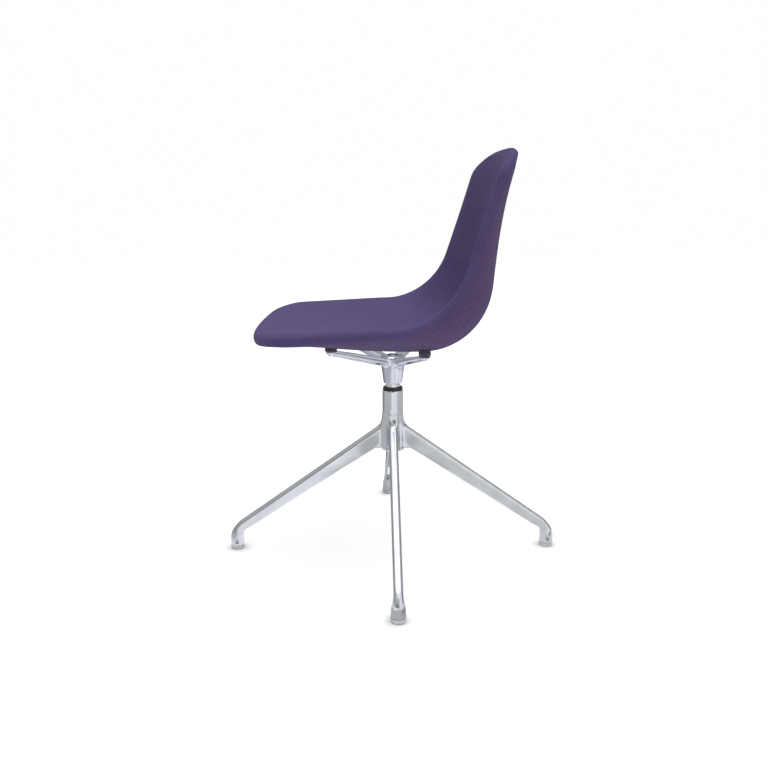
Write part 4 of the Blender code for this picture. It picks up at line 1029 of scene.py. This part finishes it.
def half_width(share):
    """Half width of the padded surface before its corners are rounded."""
    return SEAT_HALF + (BACK_HALF - SEAT_HALF) * ease((share - NARROWING[0]) / NARROWING[1])


def padded(share, x):
    """Front surface: the middle line rises to the rim line with a power of the distance out."""
    rise = ((np.abs(x) / half_width(share)) ** DISH_POWER)[..., None]
    side = MIDDLE.walk(share) * (1 - rise) + RIM.walk(share) * rise
    return np.stack([x, side[..., 0], side[..., 1]], -1)


def padded_normal(share, x):
    """Unit normals of the front surface, from central differences, towards the sitter."""
    along = padded(share + NORMAL_STEP, x) - padded(share - NORMAL_STEP, x)
    across = padded(share, x + NORMAL_STEP) - padded(share, x - NORMAL_STEP)
    normal = np.cross(across, along)
    return normal / np.linalg.norm(normal, axis=-1, keepdims=True)


def whole_thickness(share, x):
    """Thickness through shell and padding: the rim's, and a bulge under the sitter's weight.

    The bulge is one less a square, along and across, to the powers 1.5 and 3.
    """
    swell = np.clip(1 - ((share - BULGE_MIDDLE) / BULGE_REACH) ** 2, 0, 1) ** 1.5
    across = np.clip(1 - (x / half_width(share)) ** 2, 0, 1) ** 3
    return EDGE + BULGE * swell * across


def surface_grid(corner_rows, middle_rows, columns):
    """Shares and distances of a grid whose four corners are quarter ellipses: each corner's
    rows follow one less the cosine along, and its width loses one less the sine.
    """
    quarter = np.linspace(0, math.pi / 2, corner_rows + 1)
    front = FRONT_CORNER[1] * (1 - np.cos(quarter)) / RIM.length
    back = 1 - TOP_CORNER[1] * (1 - np.cos(quarter[::-1])) / RIM.length
    middle = np.linspace(front[-1], back[0], middle_rows + 2)[1:-1]
    shares = np.concatenate([front, middle, back])
    half = half_width(shares)
    half[:corner_rows + 1] -= FRONT_CORNER[0] * (1 - np.sin(quarter))
    half[-corner_rows - 1:] -= TOP_CORNER[0] * (1 - np.sin(quarter[::-1]))
    x = half[:, None] * np.linspace(-1, 1, columns + 1)
    return np.repeat(shares[:, None], columns + 1, axis=1), x


SHARE, ACROSS = surface_grid(*GRID)
POINT = padded(SHARE, ACROSS)
NORMAL = padded_normal(SHARE, ACROSS)
THICK = whole_thickness(SHARE, ACROSS)
ROWS, WIDTH = SHARE.shape
number = np.arange(ROWS * WIDTH).reshape(ROWS, WIDTH)
LOOP = np.concatenate([number[0, :-1], number[:-1, -1], number[-1, :0:-1], number[:0:-1, 0]])
INWARDS = np.full(ROWS * WIDTH, 1.0)        # distance of each grid point from the rim
for corner in POINT.reshape(-1, 3)[LOOP]:
    INWARDS = np.minimum(INWARDS, np.linalg.norm(POINT.reshape(-1, 3) - corner, axis=1))
INWARDS = INWARDS.reshape(ROWS, WIDTH)


def wrapped(name, front_depth, back_depth, edge):
    """A closed piece between two depths under the front surface, joined round the rim.

    The edge lists (outwards, depth) steps from front to back. The UV map holds metres of
    cloth: distance out from the mirror plane, and distance along the profile.
    """
    points = POINT.reshape(-1, 3)
    normals = NORMAL.reshape(-1, 3)
    rim = points[LOOP]
    along = np.roll(rim, -1, axis=0) - np.roll(rim, 1, axis=0)
    out = np.cross(along, normals[LOOP])
    out /= np.linalg.norm(out, axis=1, keepdims=True)
    cloth = np.stack([ACROSS, SHARE * MIDDLE.length], -1).reshape(-1, 2)
    up = np.hypot(out[:, 1], out[:, 2]) * np.sign(SHARE.ravel()[LOOP] - 0.5)
    cloth_out = np.stack([out[:, 0], up], 1)
    verts = [points - normals * front_depth.reshape(-1, 1)]
    flat = [cloth]
    rings = [LOOP]
    size = ROWS * WIDTH
    gone = 0.0
    before = (0.0, edge[0][1])
    for k, (outwards, depth) in enumerate(edge):
        verts.append(rim + out * outwards - normals[LOOP] * depth)
        gone = gone + np.hypot(outwards - before[0], depth - before[1])
        before = (outwards, depth)
        flat.append(cloth[LOOP] + cloth_out * gone)
        rings.append(size + k * len(LOOP) + np.arange(len(LOOP)))
    second = size + len(edge) * len(LOOP)
    verts.append(points - normals * back_depth.reshape(-1, 1))
    flat.append(cloth)
    rings.append(LOOP + second)
    quads = [number[:-1, :-1], number[:-1, 1:], number[1:, 1:], number[1:, :-1]]
    quads = np.stack(quads, -1).reshape(-1, 4)
    faces = [quads, quads[:, ::-1] + second]
    for ring, after in zip(rings, rings[1:]):
        faces.append(np.stack([ring, after, np.roll(after, -1), np.roll(ring, -1)], 1))
    verts = np.vstack(verts)
    faces = np.vstack(faces)
    mesh = bpy.data.meshes.new(name)
    mesh.from_pydata(verts, [], faces.tolist())
    chart = mesh.uv_layers.new(name="cloth")
    chart.data.foreach_set("uv", np.vstack(flat)[faces.ravel()].ravel())
    mesh.shade_smooth()
    return new_object(name, mesh)


def fabric(name, low, high, painted_light_share):
    """Felted wool cloth: a fine twill and drawn-out slubs, with painted light and shade on it.

    Painted light lightens the bend and the low back, and painted shade darkens the back's rolled
    side edges and its top; the share says how much of it a cover gets. Its limits are metres of
    cloth, out from the mirror plane and along from the front edge.
    """
    made, shader, place = new_finish(name)
    shader.inputs["Specular IOR Level"].default_value = 0.15
    shader.inputs["Sheen Weight"].default_value = 0.05
    shader.inputs["Sheen Roughness"].default_value = 0.45
    shader.inputs["Sheen Tint"].default_value = (0.62, 0.55, 0.85, 1.0)
    cloth = place.make("ShaderNodeUVMap", {"uv_map": "cloth"})
    drawn = {"Vector": cloth, "Scale": (1.0, 0.25, 1.0)}
    slubs = noise(place.make("ShaderNodeMapping", None, drawn), 480.0, 3.0)
    cross = {"Vector": cloth, "Scale": (0.25, 1.0, 1.0)}
    weft = noise(place.make("ShaderNodeMapping", None, cross), 330.0, 2.0)
    lines = {"Vector": cloth, "Scale": 34.0, "Distortion": 1.2, "Detail": 1.0, "Detail Scale": 2.0}
    shading = place.make("ShaderNodeTexWave", {"bands_direction": "Y"}, lines, 1)
    cloud = noise(place, 14.0, 3.0)
    fuzz = noise(place, 900.0, 2.0)
    ribs = {"Vector": cloth, "Scale": WEAVE, "Distortion": 0.6, "Detail": 1.0}
    twill = place.make("ShaderNodeTexWave", {"bands_direction": "DIAGONAL"}, ribs, 1)
    tone = 0.27 * slubs + 0.32 * weft + 0.14 * cloud + 0.13 * fuzz + 0.08 * twill + 0.06 * shading
    out = place.make("ShaderNodeSeparateXYZ", None, {0: cloth})
    along = out.other(1)
    # Painted light on the bend and low back; painted shade on the back's rolled edges and its top.
    rim = (out * out).between(0.155 ** 2, 0.182 ** 2)
    edge = rim * along.band((0.33, 0.41, 0.48, 0.62))
    top = (1.0 - rim) * along.between(0.52, 0.62)
    painted_light_and_shade = 0.080 * along.band((0.22, 0.32, 0.50, 0.56)) - 0.085 * edge - 0.08 * top
    colour = (tone + painted_light_share * painted_light_and_shade).between(0.38, 0.62).blend(low, high)
    relief = 0.5 * twill + 0.3 * slubs + 0.2 * fuzz
    fill(shader, colour, 0.86 + 0.1 * fuzz, relief, 0.5, 0.0004)
    return made


# The front cover gets the painted light and shade in full; the back cover gets none.
VIOLET = fabric("violet_wool", (0.092, 0.067, 0.172, 1.0), (0.122, 0.093, 0.224, 1.0), 1.0)
PLUMP = 0.0016                  # depth under the front surface that the cloth swells back
MOST_SWELL = 0.0022
PRESSURE = 4.0
STIFFNESS = 12.0
SWELL_FRAMES = 20
SMOOTH_PASSES = 12
EASE_IN = 0.0100 + 0.0220 * ease((SHARE - 0.30) / 0.26)     # the roll starts so far inside the rim


def rim_ease():
    """Depth of the eased roll inside the rim: the first stretch of an ellipse."""
    along = np.clip(EASE_IN - INWARDS, 0, None) / (ROLL + EASE_IN)
    return ROLL * (1 - np.sqrt(1 - along ** 2))


def eased_roll(last, steps):
    """Steps round the eased edge, as (outwards, depth): an ellipse above, a circle below."""
    inset = EASE_IN.ravel()[LOOP][:, None]
    first = np.arccos(inset / (ROLL + inset))
    made = []
    for share in np.linspace(0, 1, steps)[1:]:
        angle = first + (last - first) * share
        wide = np.where(angle > 0, (ROLL + inset) * np.cos(angle) - inset, ROLL * np.cos(angle))
        made.append((wide, ROLL - ROLL * np.sin(angle)))
    return made


inner = THICK - BACK_DEPTH - SHELL_DEPTH - LAYER_GAP
inset = np.clip(1 - (ACROSS / half_width(SHARE)) ** 2, 0, 1)
inset = inset * np.sin(np.clip(SHARE, 0, 1) * math.pi)
front_edge = eased_roll(SEAM, 13)
front_edge += [(0.0060, front_edge[-1][1] - 0.0009), (0.0043, 0.0205), (0.0043, EDGE - 0.0086)]
pad = wrapped("front_pad", PLUMP * inset + rim_ease(), inner, front_edge)
rest = np.empty(len(pad.data.vertices) * 3)
pad.data.vertices.foreach_get("co", rest)
rest = rest.reshape(-1, 3)
held = np.ones(len(rest))
held[:ROWS * WIDTH] = 1 - np.clip(inset.ravel() * 6, 0, 1)
group = pad.vertex_groups.new(name="held")
for weight in range(11):
    chosen = np.flatnonzero(np.round(held * 10) == weight)
    group.add(chosen.tolist(), weight / 10, "REPLACE")
swell = pad.modifiers.new("swell", "CLOTH")
swell.settings.use_pressure = True
swell.settings.uniform_pressure_force = PRESSURE
swell.settings.effector_weights.gravity = 0.0
swell.settings.vertex_group_mass = "held"
swell.settings.tension_stiffness = STIFFNESS
swell.settings.compression_stiffness = STIFFNESS
swell.settings.bending_stiffness = 1.0
swell.point_cache.frame_start = 1
swell.point_cache.frame_end = SWELL_FRAMES
for count in range(1, SWELL_FRAMES + 1):
    scene.frame_set(count)
swollen = pad.evaluated_get(bpy.context.evaluated_depsgraph_get()).data
moved = np.empty(len(rest) * 3)
swollen.vertices.foreach_get("co", moved)
shift = moved.reshape(-1, 3) - rest
far = np.linalg.norm(shift, axis=1, keepdims=True) + 1e-9
shift *= MOST_SWELL * np.tanh(far / MOST_SWELL) / far
front = shift[:ROWS * WIDTH].reshape(ROWS, WIDTH, 3)
front *= ease(inset)[..., None]
for _ in range(SMOOTH_PASSES):
    beside = front[2:, 1:-1] + front[:-2, 1:-1] + front[1:-1, 2:] + front[1:-1, :-2]
    front[1:-1, 1:-1] = beside / 4
pad.modifiers.clear()
pad.data.vertices.foreach_set("co", (rest + shift).ravel())
pad.vertex_groups.clear()
scene.frame_set(1)


def finish_cloth(made, finish, slot, *replaced):
    """Last smoothing of a cloth piece, whose cloth polished metal doesn't show."""
    smooth = made.modifiers.new("smooth", "SUBSURF")
    smooth.levels = 1
    smooth.render_levels = 1
    made.visible_glossy = False
    finish_piece(made, finish, slot, "seat", *replaced)


finish_cloth(pad, VIOLET, "violet_fabric", "cover_front", "foam_pad")


# Back cover
# The same cloth, darker, on thin foam: it covers the underside and the outer back.
# It is drawn tight over the shell and meets the front cover at the seam under the rolled edge.

VIOLET_BACK = fabric("violet_back_wool", (0.090, 0.060, 0.140, 1.0), (0.120, 0.083, 0.184, 1.0), 0.0)
back_edge = [(0.0030, EDGE - 0.0052), (0.0058, EDGE - 0.0050), (0.0070, EDGE - 0.0038)]
back_edge += [(0.0066, EDGE - 0.0024), (0.0040, EDGE - 0.0021), (0.0018, EDGE - 0.0021)]
drawn_in = 0.0022 * np.exp(-(INWARDS / 0.011) ** 2)     # the cover sinks towards the seam
cover = wrapped("back_cover", THICK - drawn_in - BACK_DEPTH, THICK - drawn_in, back_edge)
finish_cloth(cover, VIOLET_BACK, "violet_back_fabric", "cover_back")
